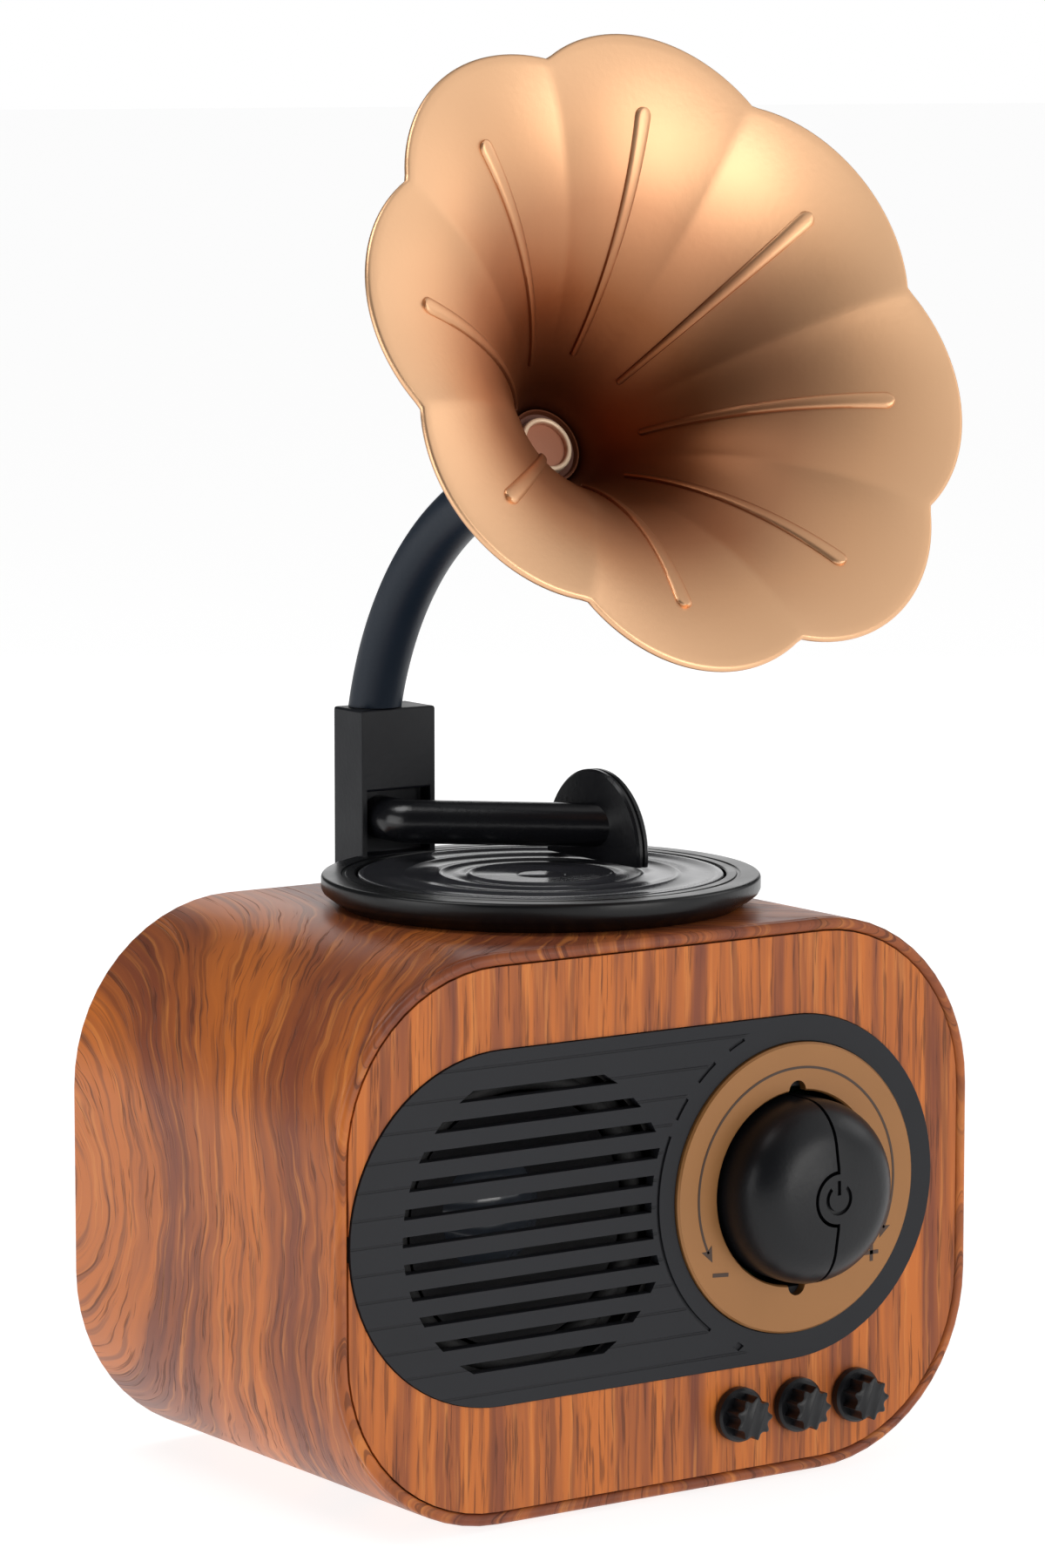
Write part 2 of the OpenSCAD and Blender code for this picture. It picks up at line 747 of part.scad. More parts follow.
module bend(r) {
    translate([spigot_x, bend_y, bend_z]) rotate([90, 0, 90]) rotate([0, 0, 8])
        rotate_extrude(angle = bend_end - 8) translate([bend_r, 0]) circle(r);
}

// The horn's own frame: its middle line along +Z, its throat at z = 0
module at_throat() {
    translate([spigot_x, throat_y, throat_z]) rotate([90 - horn_tilt, 0, 0]) children();
}

module elbow_tube() {
    color("darkslategray") {
        difference() {
            bend(tube_r);
            translate([spigot_x - 8, spigot_y - 10, post_top - 12]) cube([16, 20, 12.3]);
        }
        at_throat() translate([0, 0, -tube_run]) cylinder(h = tube_run - 1, r = tube_r + 0.1);
        translate([spigot_x, spigot_y, spigot_foot]) cylinder(h = 12, r = spigot_r);
    }
}

module throat_collar() {
    color("rosybrown") at_throat() difference() {
        translate([0, 0, -8]) cylinder(h = 8 - cap_seat, r1 = tube_r + 0.9, r2 = throat_r + bell_t);
        translate([0, 0, -8 - e]) cylinder(h = 7 + e, r = tube_r + 0.12);
    }
}

module throat_cap() {
    color("saddlebrown") at_throat() {
        translate([0, 0, -cap_seat]) cylinder(h = 0.8 + cap_seat, r = throat_r - 0.1);
        difference() {
            cylinder(h = 1.5, r = 3.9);
            translate([0, 0, -e]) cylinder(h = 3, r = 3.1);
        }
    }
}

function flare_at(a) = [throat_r + flare_r * (cos(flare_from) - cos(a)),
    flare_r * (sin(a) - sin(flare_from))];

module bell_wall() {
    rotate_extrude($fn = 96) polygon(concat(
        [for (a = [flare_from : 5 : flare_to]) flare_at(a)],
        [for (a = [flare_to : -5 : flare_from]) flare_at(a) + bell_t * [cos(a), -sin(a)]]));
}

module horn_bell() {
    color("tan") at_throat() intersection() {
        bell_wall();
        translate([0, 0, -2]) linear_extrude(40) {
            circle(30);
            for (i = [0 : lobe_count - 1]) rotate(lobe_turn + i * 360 / lobe_count)
                translate([lobe_off, 0]) circle(lobe_r);
        }
    }
}

cabinet_shell();
front_panel();
rear_cover();
rear_cover_screws();
base_pad();
grille_panel();
dial_ring();
dial_knob_left();
dial_knob_right();
dial_shaft();
dial_plunger();
dial_housing();
power_switch();
tone_knob_left();
tone_knob_middle();
tone_knob_right();
tone_shaft_left();
tone_shaft_middle();
tone_shaft_right();
tone_pots();
control_board();
control_board_screws();
driver_gasket();
driver_frame();
driver_surround();
driver_cone();
dust_cap();
voice_coil();
driver_spider();
magnet_front_plate();
magnet_ring();
magnet_back_plate();
driver_screws();
battery_tray();
battery();
battery_strap();
main_board();
main_board_screws();
circuit_chips();
charging_socket();
audio_jack();
card_slot();
status_lamp();
microphone();
speaker_leads();
battery_leads();
control_leads();
deck_disc();
deck_screws();
record();
record_axle();
axle_clip();
horn_post();
post_screws();
tonearm();
soundbox();
elbow_tube();
throat_collar();
throat_cap();
horn_bell();
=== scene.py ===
import json
from math import acos, atan2, cos, degrees, hypot, pi, radians, sin, sqrt, tan

import bmesh
import bpy
from mathutils import Matrix, Vector


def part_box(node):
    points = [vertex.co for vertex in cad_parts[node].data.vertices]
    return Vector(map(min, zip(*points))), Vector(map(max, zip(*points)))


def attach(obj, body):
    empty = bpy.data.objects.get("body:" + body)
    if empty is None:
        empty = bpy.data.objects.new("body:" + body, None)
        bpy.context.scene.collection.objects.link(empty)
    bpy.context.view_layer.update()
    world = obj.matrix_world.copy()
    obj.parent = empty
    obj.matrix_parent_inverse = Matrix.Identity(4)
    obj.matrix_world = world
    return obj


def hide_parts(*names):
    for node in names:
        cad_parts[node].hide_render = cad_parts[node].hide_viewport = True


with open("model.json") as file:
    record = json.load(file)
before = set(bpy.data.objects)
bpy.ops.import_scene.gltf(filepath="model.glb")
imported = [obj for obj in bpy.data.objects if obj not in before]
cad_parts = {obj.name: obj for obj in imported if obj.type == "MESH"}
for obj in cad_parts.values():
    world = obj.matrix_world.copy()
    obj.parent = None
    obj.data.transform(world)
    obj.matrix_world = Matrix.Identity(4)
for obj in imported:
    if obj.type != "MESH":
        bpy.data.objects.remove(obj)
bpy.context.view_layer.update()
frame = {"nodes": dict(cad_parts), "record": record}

MM = 0.001
scene = bpy.context.scene


# ---------- places and sizes, from the frame ----------

def middle(node):
    low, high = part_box(node)
    return (low + high) / 2


case_low, case_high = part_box("cabinet_shell")
CASE_W = case_high.x - case_low.x
CASE_H = case_high.z - case_low.z
CASE_Z = middle("cabinet_shell").z
CORNER = 22.9 * MM
LIP = 1.5 * MM
WALL = 2.4 * MM
FRONT = case_low.y
BACK = case_high.y
TOP = case_high.z

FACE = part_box("front_panel")[0].y
PANEL_T = 3 * MM
PANEL_GAP = 0.12 * MM

# How deep the grille's seat is in the front panel, and how far a cutter reaches past what it cuts
SEAT = 1.2 * MM
OVER = 1 * MM

grille_low, grille_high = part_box("grille_panel")
GRILLE_R = (grille_high.z - grille_low.z) / 2
GRILLE_Z = middle("grille_panel").z
GRILLE_LEFT = grille_low.x + GRILLE_R
GRILLE_RIGHT = grille_high.x - GRILLE_R
GRILLE_FACE = grille_low.y

ring_low, ring_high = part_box("dial_ring")
RING_R = (ring_high.x - ring_low.x) / 2
DIAL = Vector((middle("dial_ring").x, 0, GRILLE_Z))
RING_HOLE = 12.2 * MM
knob_low, knob_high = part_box("dial_knob_left")
KNOB_R = (knob_high.z - knob_low.z) / 2

DRIVER = middle("driver_frame")
SLOTS = 11
SLOT_PITCH = 3.3 * MM
SLOT_H = 1.25 * MM
SLOT_FIELD = 19.6 * MM

deck_low, deck_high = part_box("deck_disc")
DECK = Vector((middle("record").x, 0, TOP))
DECK_R = DECK.x - deck_low.x
DECK_H = deck_high.z - TOP
record_low, record_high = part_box("record")
RECORD_R = (record_high.x - record_low.x) / 2

post_low, post_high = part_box("horn_post")
TILT = radians(26.7)
TUBE_R = 3.4 * MM
BEND_R = 42.5 * MM
SPIGOT = Vector((-4, 26.9, 0)) * MM
BEND_MIDDLE = SPIGOT - Vector((0, cos(radians(15)), sin(radians(15)))) * BEND_R
BEND_MIDDLE.z += post_high.z + 0.6 * MM
BEND_TO = pi / 2 - TILT
HORN_WAY = Vector((0, -cos(TILT), sin(TILT)))
TUBE_RUN = 17.2 * MM
THROAT = BEND_MIDDLE + Vector((0, cos(BEND_TO), sin(BEND_TO))) * BEND_R + HORN_WAY * TUBE_RUN
THROAT_R = 4.9 * MM
FLARE_R = 47.5 * MM
BELL_T = 1 * MM
LOBES = 8


# ---------- small tools ----------

def rounded(corners, steps=6):
    """The points of an outline whose corners (a, b, radius) are turned into arcs."""
    points = []
    count = len(corners)
    for i, (a, b, radius) in enumerate(corners):
        here = Vector((a, b))
        if radius <= 0:
            points.append(here)
            continue
        to_last = (Vector(corners[i - 1][:2]) - here).normalized()
        to_next = (Vector(corners[(i + 1) % count][:2]) - here).normalized()
        half = to_last.angle(to_next) / 2
        centre = here + (to_last + to_next).normalized() * radius / sin(half)
        start = here + to_last * radius / tan(half) - centre
        turn = start.angle_signed(here + to_next * radius / tan(half) - centre)
        for k in range(steps + 1):
            points.append(centre + Matrix.Rotation(-turn * k / steps, 2) @ start)
    return points


def rectangle(left, low, right, high, radius=0.0, steps=1):
    corners = ((left, low), (right, low), (right, high), (left, high))
    return rounded([(x, z, radius) for x, z in corners], steps)


def case_outline(inset):
    w, h = CASE_W / 2 - inset, CASE_H / 2 - inset
    return rectangle(-w, CASE_Z - h, w, CASE_Z + h, CORNER - inset, 14)


def grille_outline(radius):
    """Two round ends, each of two corners whose arcs all but meet."""
    left, right = GRILLE_LEFT - radius, GRILLE_RIGHT + radius
    return rectangle(left, GRILLE_Z - radius, right, GRILLE_Z + radius, radius * 0.9999, 20)


def slab(outline, y, thick):
    """An outline in X and Z, extruded from y to y + thick."""
    bm = bmesh.new()
    face = bm.faces.new([bm.verts.new((p.x, y, p.y)) for p in outline])
    made = bmesh.ops.extrude_face_region(bm, geom=[face])["geom"]
    bmesh.ops.translate(bm, verts=[g for g in made if isinstance(g, bmesh.types.BMVert)], vec=(0, thick, 0))
    bmesh.ops.recalc_face_normals(bm, faces=bm.faces)
    return bm


def disc(x, z, radius, y, thick, steps=64):
    turns = [2 * pi * k / steps for k in range(steps)]
    return slab([Vector((x + radius * cos(t), z + radius * sin(t))) for t in turns], y, thick)


def block(low, high):
    """A cuboid between two corners."""
    bm = bmesh.new()
    bmesh.ops.create_cube(bm, size=1)
    bmesh.ops.scale(bm, vec=high - low, verts=bm.verts)
    bmesh.ops.translate(bm, vec=(low + high) / 2, verts=bm.verts)
    return bm


def lathe(profile, place, steps=96, closed=False):
    """Spins a profile of (radius, height) points round the local Z of place."""
    bm = bmesh.new()
    verts = [bm.verts.new((radius, 0, height)) for radius, height in profile]
    edges = [bm.edges.new(pair) for pair in zip(verts, verts[1:])]
    if closed:
        edges.append(bm.edges.new((verts[-1], verts[0])))
    bmesh.ops.spin(bm, geom=verts + edges, cent=(0, 0, 0), axis=(0, 0, 1), dvec=(0, 0, 0), angle=2 * pi,
                   steps=steps, use_merge=True, use_duplicate=False)
    bmesh.ops.remove_doubles(bm, verts=bm.verts, dist=1e-7)
    bmesh.ops.transform(bm, matrix=place, verts=bm.verts)
    bmesh.ops.recalc_face_normals(bm, faces=bm.faces)
    return bm


def facing_front(x, y, z):
    """A place whose local Z points to the front, -Y."""
    return Matrix.Translation((x, y, z)) @ Matrix.Rotation(pi / 2, 4, "X")


def carve(bm, cutter, how="DIFFERENCE"):
    """The bmesh bm with the bmesh cutter taken away, or only what they share."""
    objects = []
    for part in (bm, cutter):
        bmesh.ops.recalc_face_normals(part, faces=part.faces)
        mesh = bpy.data.meshes.new("carve")
        part.to_mesh(mesh)
        part.free()
        objects.append(bpy.data.objects.new("carve", mesh))
        scene.collection.objects.link(objects[-1])
    boolean = objects[0].modifiers.new("cut", "BOOLEAN")
    boolean.operation = how
    boolean.solver = "EXACT"
    boolean.object = objects[1]
    bpy.context.view_layer.update()
    result = bmesh.new()
    result.from_object(objects[0], bpy.context.evaluated_depsgraph_get())
    for o in objects:
        mesh = o.data
        bpy.data.objects.remove(o)
        bpy.data.meshes.remove(mesh)
    return result


def cut_off(bm, at, way):
    """Cuts off what lies past the plane through at, on the side that way points to, and closes the cut."""
    bmesh.ops.bisect_plane(bm, geom=bm.verts[:] + bm.edges[:] + bm.faces[:], plane_co=at, plane_no=way,
                           clear_outer=True)
    bmesh.ops.holes_fill(bm, edges=[e for e in bm.edges if e.is_boundary])
    bmesh.ops.recalc_face_normals(bm, faces=bm.faces)
    return bm


def joined(parts):
    """Several separate solids in one bmesh."""
    whole = bmesh.new()
    for part in parts:
        mesh = bpy.data.meshes.new("part")
        part.to_mesh(mesh)
        part.free()
        whole.from_mesh(mesh)
        bpy.data.meshes.remove(mesh)
    return whole


def piece(name, bm, body, material, replaces=(), sharp=40, edge=0.0, edge_steps=2):
    """Makes a finished piece of a bmesh, with its material, its body and the nodes that it stands for."""
    mesh = bpy.data.meshes.new(name)
    bm.to_mesh(mesh)
    bm.free()
    mesh.shade_smooth()
    mesh.set_sharp_from_angle(angle=radians(sharp))
    mesh.materials.append(material)
    obj = bpy.data.objects.new(name, mesh)
    scene.collection.objects.link(obj)
    if edge:
        bevel = obj.modifiers.new("edge", "BEVEL")
        bevel.width = edge
        bevel.segments = edge_steps
        bevel.limit_method = "ANGLE"
        bevel.angle_limit = radians(35)
        bevel.harden_normals = True
        bevel.use_clamp_overlap = True
    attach(obj, body)
    if replaces:
        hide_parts(*replaces)
    return obj


# ---------- materials ----------

def tint(red, green, blue):
    """A colour given as it looks on a screen, 0 to 255."""
    shares = [c / 255 for c in (red, green, blue)]
    return tuple(c / 12.92 if c <= 0.04045 else ((c + 0.055) / 1.055) ** 2.4 for c in shares) + (1,)


class Look:
    """Builds one procedural material, a node at a time. Places are in millimetres."""

    def __init__(self, name, **surface):
        self.material = bpy.data.materials.new(name)
        self.material.use_nodes = True
        self.tree = self.material.node_tree
        self.tree.nodes.clear()
        self.surface = self.add("ShaderNodeBsdfPrincipled")
        out = self.add("ShaderNodeOutputMaterial")
        self.tree.links.new(self.surface.outputs[0], out.inputs[0])
        place = self.add("ShaderNodeTexCoord").outputs["Object"]
        self.place = self.vector("MULTIPLY", place, (1000, 1000, 1000))
        split = self.add("ShaderNodeSeparateXYZ")
        self.put(split.inputs[0], self.place)
        self.x, self.y, self.z = split.outputs
        for socket, value in surface.items():
            self.set(socket.replace("_", " "), value)

    def add(self, kind, **settings):
        node = self.tree.nodes.new(kind)
        for key, value in settings.items():
            setattr(node, key, value)
        return node

    def put(self, socket, value):
        if isinstance(value, bpy.types.NodeSocket):
            self.tree.links.new(value, socket)
        else:
            socket.default_value = value

    def set(self, socket, value):
        self.put(self.surface.inputs[socket], value)

    def math(self, operation, *values, clamp=False):
        node = self.add("ShaderNodeMath", operation=operation, use_clamp=clamp)
        for socket, value in zip(node.inputs, values):
            self.put(socket, value)
        return node.outputs[0]

    def vector(self, operation, *values):
        node = self.add("ShaderNodeVectorMath", operation=operation)
        for socket, value in zip(node.inputs, values):
            self.put(socket, value)
        return node.outputs[0]

    def combine(self, x, y, z):
        node = self.add("ShaderNodeCombineXYZ")
        for socket, value in zip(node.inputs, (x, y, z)):
            self.put(socket, value)
        return node.outputs[0]

    def noise(self, place, scale=1.0, detail=2.0, roughness=0.5):
        node = self.add("ShaderNodeTexNoise")
        self.put(node.inputs["Vector"], place)
        node.inputs["Scale"].default_value = scale
        node.inputs["Detail"].default_value = detail
        node.inputs["Roughness"].default_value = roughness
        return node.outputs[0]

    def ramp(self, value, *stops):
        node = self.add("ShaderNodeValToRGB")
        self.put(node.inputs[0], value)
        marks = node.color_ramp.elements
        while len(marks) < len(stops):
            marks.new(0.5)
        for mark, (at, colour) in zip(marks, stops):
            mark.position = at
            mark.color = colour
        return node.outputs[0]

    def span(self, value, low, high, to_low=0.0, to_high=1.0):
        """value's way from low to high, eased and clamped, as a number from to_low to to_high."""
        node = self.add("ShaderNodeMapRange", interpolation_type="SMOOTHSTEP")
        for socket, v in zip(node.inputs, (value, low, high, to_low, to_high)):
            self.put(socket, v)
        return node.outputs[0]

    def reach(self, a, b):
        """How far a and b at right angles reach together."""
        squares = [self.math("MULTIPLY", side, side) for side in (a, b)]
        return self.math("SQRT", self.math("ADD", *squares))

    def mix(self, share, a, b):
        node = self.add("ShaderNodeMix", data_type="RGBA")
        self.put(node.inputs[0], share)
        self.put(node.inputs[6], a)
        self.put(node.inputs[7], b)
        return node.outputs[2]

    def bump(self, height, distance):
        node = self.add("ShaderNodeBump")
        node.inputs["Distance"].default_value = distance
        self.put(node.inputs["Height"], height)
        self.put(self.surface.inputs["Normal"], node.outputs[0])


def plain(name, colour, rough, metal=0.0, spread=0.12, grain=1.5, bump=0.02, **surface):
    """A moulded or painted surface: slightly uneven colour, sheen and relief."""
    look = Look(name, **surface)
    patches = look.noise(look.place, 0.12, 3)
    dark = tuple(c * (1 - spread) for c in colour[:3]) + (1,)
    light = tuple(min(1, c * (1 + spread)) for c in colour[:3]) + (1,)
    look.set("Base Color", look.mix(patches, dark, light))
    look.set("Roughness", look.span(patches, 0.3, 0.7, rough * 0.9, rough * 1.1))
    if metal:
        look.set("Metallic", metal)
    if bump:
        look.bump(look.noise(look.place, grain, 2), bump * MM)
    return look.material


def wood(name, across, along, zones, sway_mm=4.0, shade_behind=None):
    """Printed wood grain with a satin lacquer. across and along give the millimetres across and along it, and
    zones the share of orange, from 0 to 1, in its broad bands. Behind the given place in Y it is black,
    painted shade inside the holes."""
    look = Look(name, Coat_Weight=0.05, Coat_Roughness=0.25, Specular_IOR_Level=0.25)
    u, v = across(look), along(look)
    sway = look.noise(look.combine(look.math("MULTIPLY", u, 0.07), look.math("MULTIPLY", v, 0.07), 3.0), 1, 3)
    u = look.math("ADD", u, look.math("MULTIPLY", look.math("SUBTRACT", sway, 0.5), 2 * sway_mm))

    def streaks(width, length, seed, detail=3.0, roughness=0.6):
        """Noise drawn out along the grain, its patches about width by length millimetres."""
        place = look.combine(look.math("MULTIPLY", u, 1 / width), look.math("MULTIPLY", v, 1 / length), seed)
        return look.noise(place, 1, detail, roughness)

    uneven = look.math("SUBTRACT", streaks(3.5, 30, 1.0, 2.0), 0.5)
    share = look.math("ADD", zones(look, u), look.math("MULTIPLY", uneven, 2.2), clamp=True)
    colour = look.mix(share, WOOD_BROWN, WOOD_ORANGE)
    pale = look.span(streaks(1.1, 14, 14.0), 0.52, 0.68)
    colour = look.mix(look.math("MULTIPLY", pale, 0.5), colour, WOOD_PALE)
    broad = look.span(streaks(1.3, 17, 5.0), 0.5, 0.64)
    colour = look.mix(look.math("MULTIPLY", broad, 0.5), colour, WOOD_DARK)
    fine = look.span(streaks(0.6, 8, 9.0, 3.0, 0.65), 0.56, 0.64)
    colour = look.mix(look.math("MULTIPLY", fine, 0.55), colour, WOOD_STREAK)
    # Behind that place the wood is black: painted shade inside the holes that show through the grille's
    # slots.
    if shade_behind is not None:
        colour = look.mix(look.math("GREATER_THAN", look.y, shade_behind / MM), colour, tint(16, 15, 15))
    look.set("Base Color", colour)
    look.set("Roughness", look.span(fine, 0, 1, 0.4, 0.52))
    look.bump(look.math("SUBTRACT", 1.0, fine), 0.03 * MM)
    return look.material


WOOD_DARK = tint(98, 50, 34)
WOOD_BROWN = tint(128, 68, 44)
WOOD_ORANGE = tint(194, 108, 46)
WOOD_STREAK = tint(66, 32, 22)
WOOD_PALE = tint(214, 134, 66)


def girth_turn(look):
    return look.math("ARCTAN2", look.x, look.math("SUBTRACT", look.z, CASE_Z / MM))


def arches(look):
    """Millimetres from the middle of a side's back edge, shortened along the girth: nested arches."""
    off = look.math("SUBTRACT", look.math("ABSOLUTE", girth_turn(look)), pi / 2)
    off = look.math("MULTIPLY", off, 45)
    back = look.math("SUBTRACT", BACK / MM + 3, look.y)
    return look.reach(off, back)


def grey(share):
    return (share, share, share, 1)


def arch_zones(look, u):
    """Orange at the back edge, then brown, orange, brown and orange again to the front."""
    marks = ((20, 1), (26, 0.1), (34, 0.15), (40, 0.9), (49, 0.85),
             (54, 0.1), (59, 0.2), (63, 0.75), (72, 0.15))
    return look.ramp(look.math("DIVIDE", u, 100), *[(at / 100, grey(share)) for at, share in marks])


def front_zones(look, u):
    """Upright bands a few millimetres wide."""
    bands = look.noise(look.combine(look.math("MULTIPLY", u, 0.3), 0.0, 7.0), 1, 2)
    return look.span(bands, 0.38, 0.58, 0.2, 1.0)


def half_height(look):
    return look.math("MULTIPLY", look.z, 0.5)


def round_girth(look):
    return look.math("MULTIPLY", girth_turn(look), 33.0)


wood_shell = wood("wood_shell", arches, round_girth, arch_zones)
# The front's wood is black behind the grille's seat, as painted shade in the holes seen through the slots.
wood_front = wood("wood_front", lambda look: look.x, half_height, front_zones, 0.8, FACE + SEAT - 0.1 * MM)
wood_rear = wood("wood_rear", lambda look: look.math("ADD", look.x, 40.0), half_height, front_zones, 0.8)


def grille_look():
    """Dark satin plastic with fine scored lines, level with the slots, that stop at the dial. The lines are
    darkened with painted shade in their grooves.
    """
    look = Look("grille_black", Specular_IOR_Level=0.2)
    patches = look.noise(look.place, 0.1, 3)
    step = look.math("DIVIDE", look.math("SUBTRACT", look.z, GRILLE_Z / MM), SLOT_PITCH / MM)
    off = look.math("ABSOLUTE", look.math("SUBTRACT", look.math("FRACT", look.math("ADD", step, 20.5)), 0.5))
    line = look.span(off, 0.025, 0.06, 1.0, 0.0)
    dx = look.math("SUBTRACT", look.x, DIAL.x / MM)
    dz = look.math("SUBTRACT", look.z, DIAL.z / MM)
    line = look.math("MULTIPLY", line, look.span(look.reach(dx, dz), 21.0, 21.3))
    line = look.math("MULTIPLY", line, look.math("LESS_THAN", dx, 0.0))
    front = look.math("LESS_THAN", look.y, FACE / MM)
    line = look.math("MULTIPLY", line, front)
    base = look.mix(patches, tint(30, 31, 34), tint(38, 39, 43))
    # The scored lines are darkened here, as painted shade in their grooves.
    look.set("Base Color", look.mix(look.math("MULTIPLY", line, 0.35), base, tint(14, 14, 16)))
    look.set("Roughness", look.span(patches, 0.3, 0.7, 0.42, 0.5))
    fine = look.math("MULTIPLY", look.noise(look.place, 4, 2), 0.12)
    look.bump(look.math("SUBTRACT", fine, line), 0.08 * MM)
    return look.material


def horn_look(name, outer, deep):
    """Warm gold paint, darkened into the throat by painted shade."""
    look = Look(name, Metallic=0.95)
    up = look.math("SUBTRACT", look.z, THROAT.z / MM)
    forth = look.math("SUBTRACT", look.y, THROAT.y / MM)
    up = look.math("MULTIPLY", up, sin(TILT))
    height = look.math("SUBTRACT", up, look.math("MULTIPLY", forth, cos(TILT)))
    patches = look.noise(look.place, 0.05, 2)
    depth = look.math("DIVIDE", look.math("ADD", height, look.math("MULTIPLY", patches, 2.0)), 32.0)
    # The colour darkens into the throat as painted shade.
    colour = look.ramp(depth, (0.0, deep), (0.2, tint(124, 68, 40)), (0.5, tint(148, 94, 60)),
                       (0.75, tint(188, 136, 100)), (0.9, tint(224, 174, 132)), (1.0, outer))
    outside = look.add("ShaderNodeAttribute", attribute_name="outside").outputs["Fac"]
    # The bell's back takes a mid brown, partly its own tone and partly painted shade along the rim's back
    # edge.
    look.set("Base Color", look.mix(outside, colour, tint(122, 82, 58)))
    look.set("Roughness", look.span(patches, 0.3, 0.7, 0.38, 0.46))
    look.bump(look.noise(look.place, 1.2, 2), 0.015 * MM)
    return look.material


# ---------- cabinet ----------

def arc(x, y, radius, start, end, steps=8):
    """Points on an arc, its angles in degrees."""
    turns = [radians(start + (end - start) * k / steps) for k in range(steps + 1)]
    return [(x + radius * cos(t), y + radius * sin(t)) for t in turns]


def loft(loops, closed=False):
    """Joins a row of closed loops of points into one surface, its ends filled or joined to each other."""
    bm = bmesh.new()
    edges = []
    for points in loops:
        verts = [bm.verts.new(p) for p in points]
        edges.append([bm.edges.new((verts[i - 1], verts[i])) for i in range(len(verts))])
    for a, b in zip(edges, edges[1:] + (edges[:1] if closed else [])):
        bmesh.ops.bridge_loops(bm, edges=a + b)
    if not closed:
        for end in (edges[0], edges[-1]):
            bmesh.ops.contextual_create(bm, geom=end)
    bmesh.ops.recalc_face_normals(bm, faces=bm.faces)
    return bm


cover_low, cover_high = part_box("rear_cover")
BEAD = LIP / 2
EDGE = 0.9 * MM
section = [(LIP, FACE + PANEL_T)]
section += arc(BEAD, FRONT + BEAD, BEAD, 0, -215, 12)
section += [(0.1 * MM, FRONT + 1.35 * MM), (0.02 * MM, FRONT + 1.55 * MM), (0, FRONT + 1.8 * MM)]
section += arc(EDGE, BACK - EDGE, EDGE, 180, 90, 5)
section += [(LIP - 0.2 * MM, BACK), (LIP, BACK - 0.2 * MM), (LIP, cover_low.y)]
section += [(WALL, cover_low.y), (WALL, FACE + PANEL_T)]
shell = loft([[(p.x, y, p.y) for p in case_outline(inset)] for inset, y in section], closed=True)
piece("cabinet_wood", shell, "cabinet", wood_shell, ["cabinet_shell"], sharp=50)


DRIVER_HOLE_R = 19.8 * MM
DIAL_HOLE_R = RING_HOLE + 0.4 * MM
TONE_HOLE_R = 1.9 * MM
SIDES = ("left", "middle", "right")
tone_middles = [middle("tone_knob_" + side) for side in SIDES]
front = slab(case_outline(LIP + PANEL_GAP), FACE, PANEL_T)
front = carve(front, slab(grille_outline(GRILLE_R + 0.1 * MM), FACE - OVER, SEAT + OVER))
holes = [disc(DRIVER.x, GRILLE_Z, DRIVER_HOLE_R, FACE, PANEL_T + OVER)]
holes += [disc(DIAL.x, DIAL.z, DIAL_HOLE_R, FACE, PANEL_T + OVER)]
holes += [disc(m.x, m.z, TONE_HOLE_R, FACE - OVER, PANEL_T + 2 * OVER, 32) for m in tone_middles]
front = carve(front, joined(holes))
piece("front_wood", front, "cabinet", wood_front, ["front_panel"], edge=0.3 * MM, edge_steps=3)


def window(node, grow, y, thick):
    """A cutter for a rectangular opening round a node, seen from the back."""
    low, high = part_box(node)
    return slab(rectangle(low.x - grow, low.z - grow, high.x + grow, high.z + grow), y, thick)


SCREW_HEAD_R = 2.4 * MM
screws_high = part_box("rear_cover_screws")[1]
screw_x, screw_z = screws_high.x - SCREW_HEAD_R, screws_high.z - SCREW_HEAD_R
screw_places = [(sx * screw_x, CASE_Z + sz * (screw_z - CASE_Z)) for sx in (-1, 1) for sz in (-1, 1)]
COVER_T = cover_high.y - cover_low.y
through = (cover_low.y - OVER, COVER_T + 2 * OVER)
lamp, jack, mic = middle("status_lamp"), middle("audio_jack"), middle("microphone")
holes = [window("charging_socket", 0.2 * MM, *through), window("card_slot", 0.2 * MM, *through)]
holes += [disc(jack.x, jack.z, 3.1 * MM, *through), disc(lamp.x, jack.z, 1.6 * MM, *through, 32)]
holes += [disc(mic.x, jack.z, 0.8 * MM, *through, 24)]
holes += [disc(x, z, 1.5 * MM, *through, 32) for x, z in screw_places]
holes += [disc(x, z, 2.8 * MM, cover_low.y + 0.8 * MM, COVER_T, 32) for x, z in screw_places]
rear = slab(case_outline(LIP + PANEL_GAP), cover_low.y, COVER_T)
for hole in holes:
    rear = carve(rear, hole)
piece("rear_wood", rear, "cabinet", wood_rear, ["rear_cover"], edge=0.2 * MM)


# ---------- grille and dial ----------

def slot_cutter(level):
    """One sound slot, its ends cut off by the round field and by the dial's circle."""
    z = GRILLE_Z + level * SLOT_PITCH
    field = DRIVER.x + 1 * MM
    points = []
    for side, order in ((-1, (-1, 1)), (1, (1, -1))):
        for up in order:
            dz = abs(level * SLOT_PITCH + up * SLOT_H / 2)
            x = field + side * sqrt(SLOT_FIELD ** 2 - dz ** 2)
            if side > 0:
                x = min(x, DIAL.x - sqrt((GRILLE_R + 0.2 * MM) ** 2 - dz ** 2))
            points.append(Vector((x, z + up * SLOT_H / 2)))
    return slab(points, GRILLE_FACE - OVER, GRILLE_T + 2 * OVER)


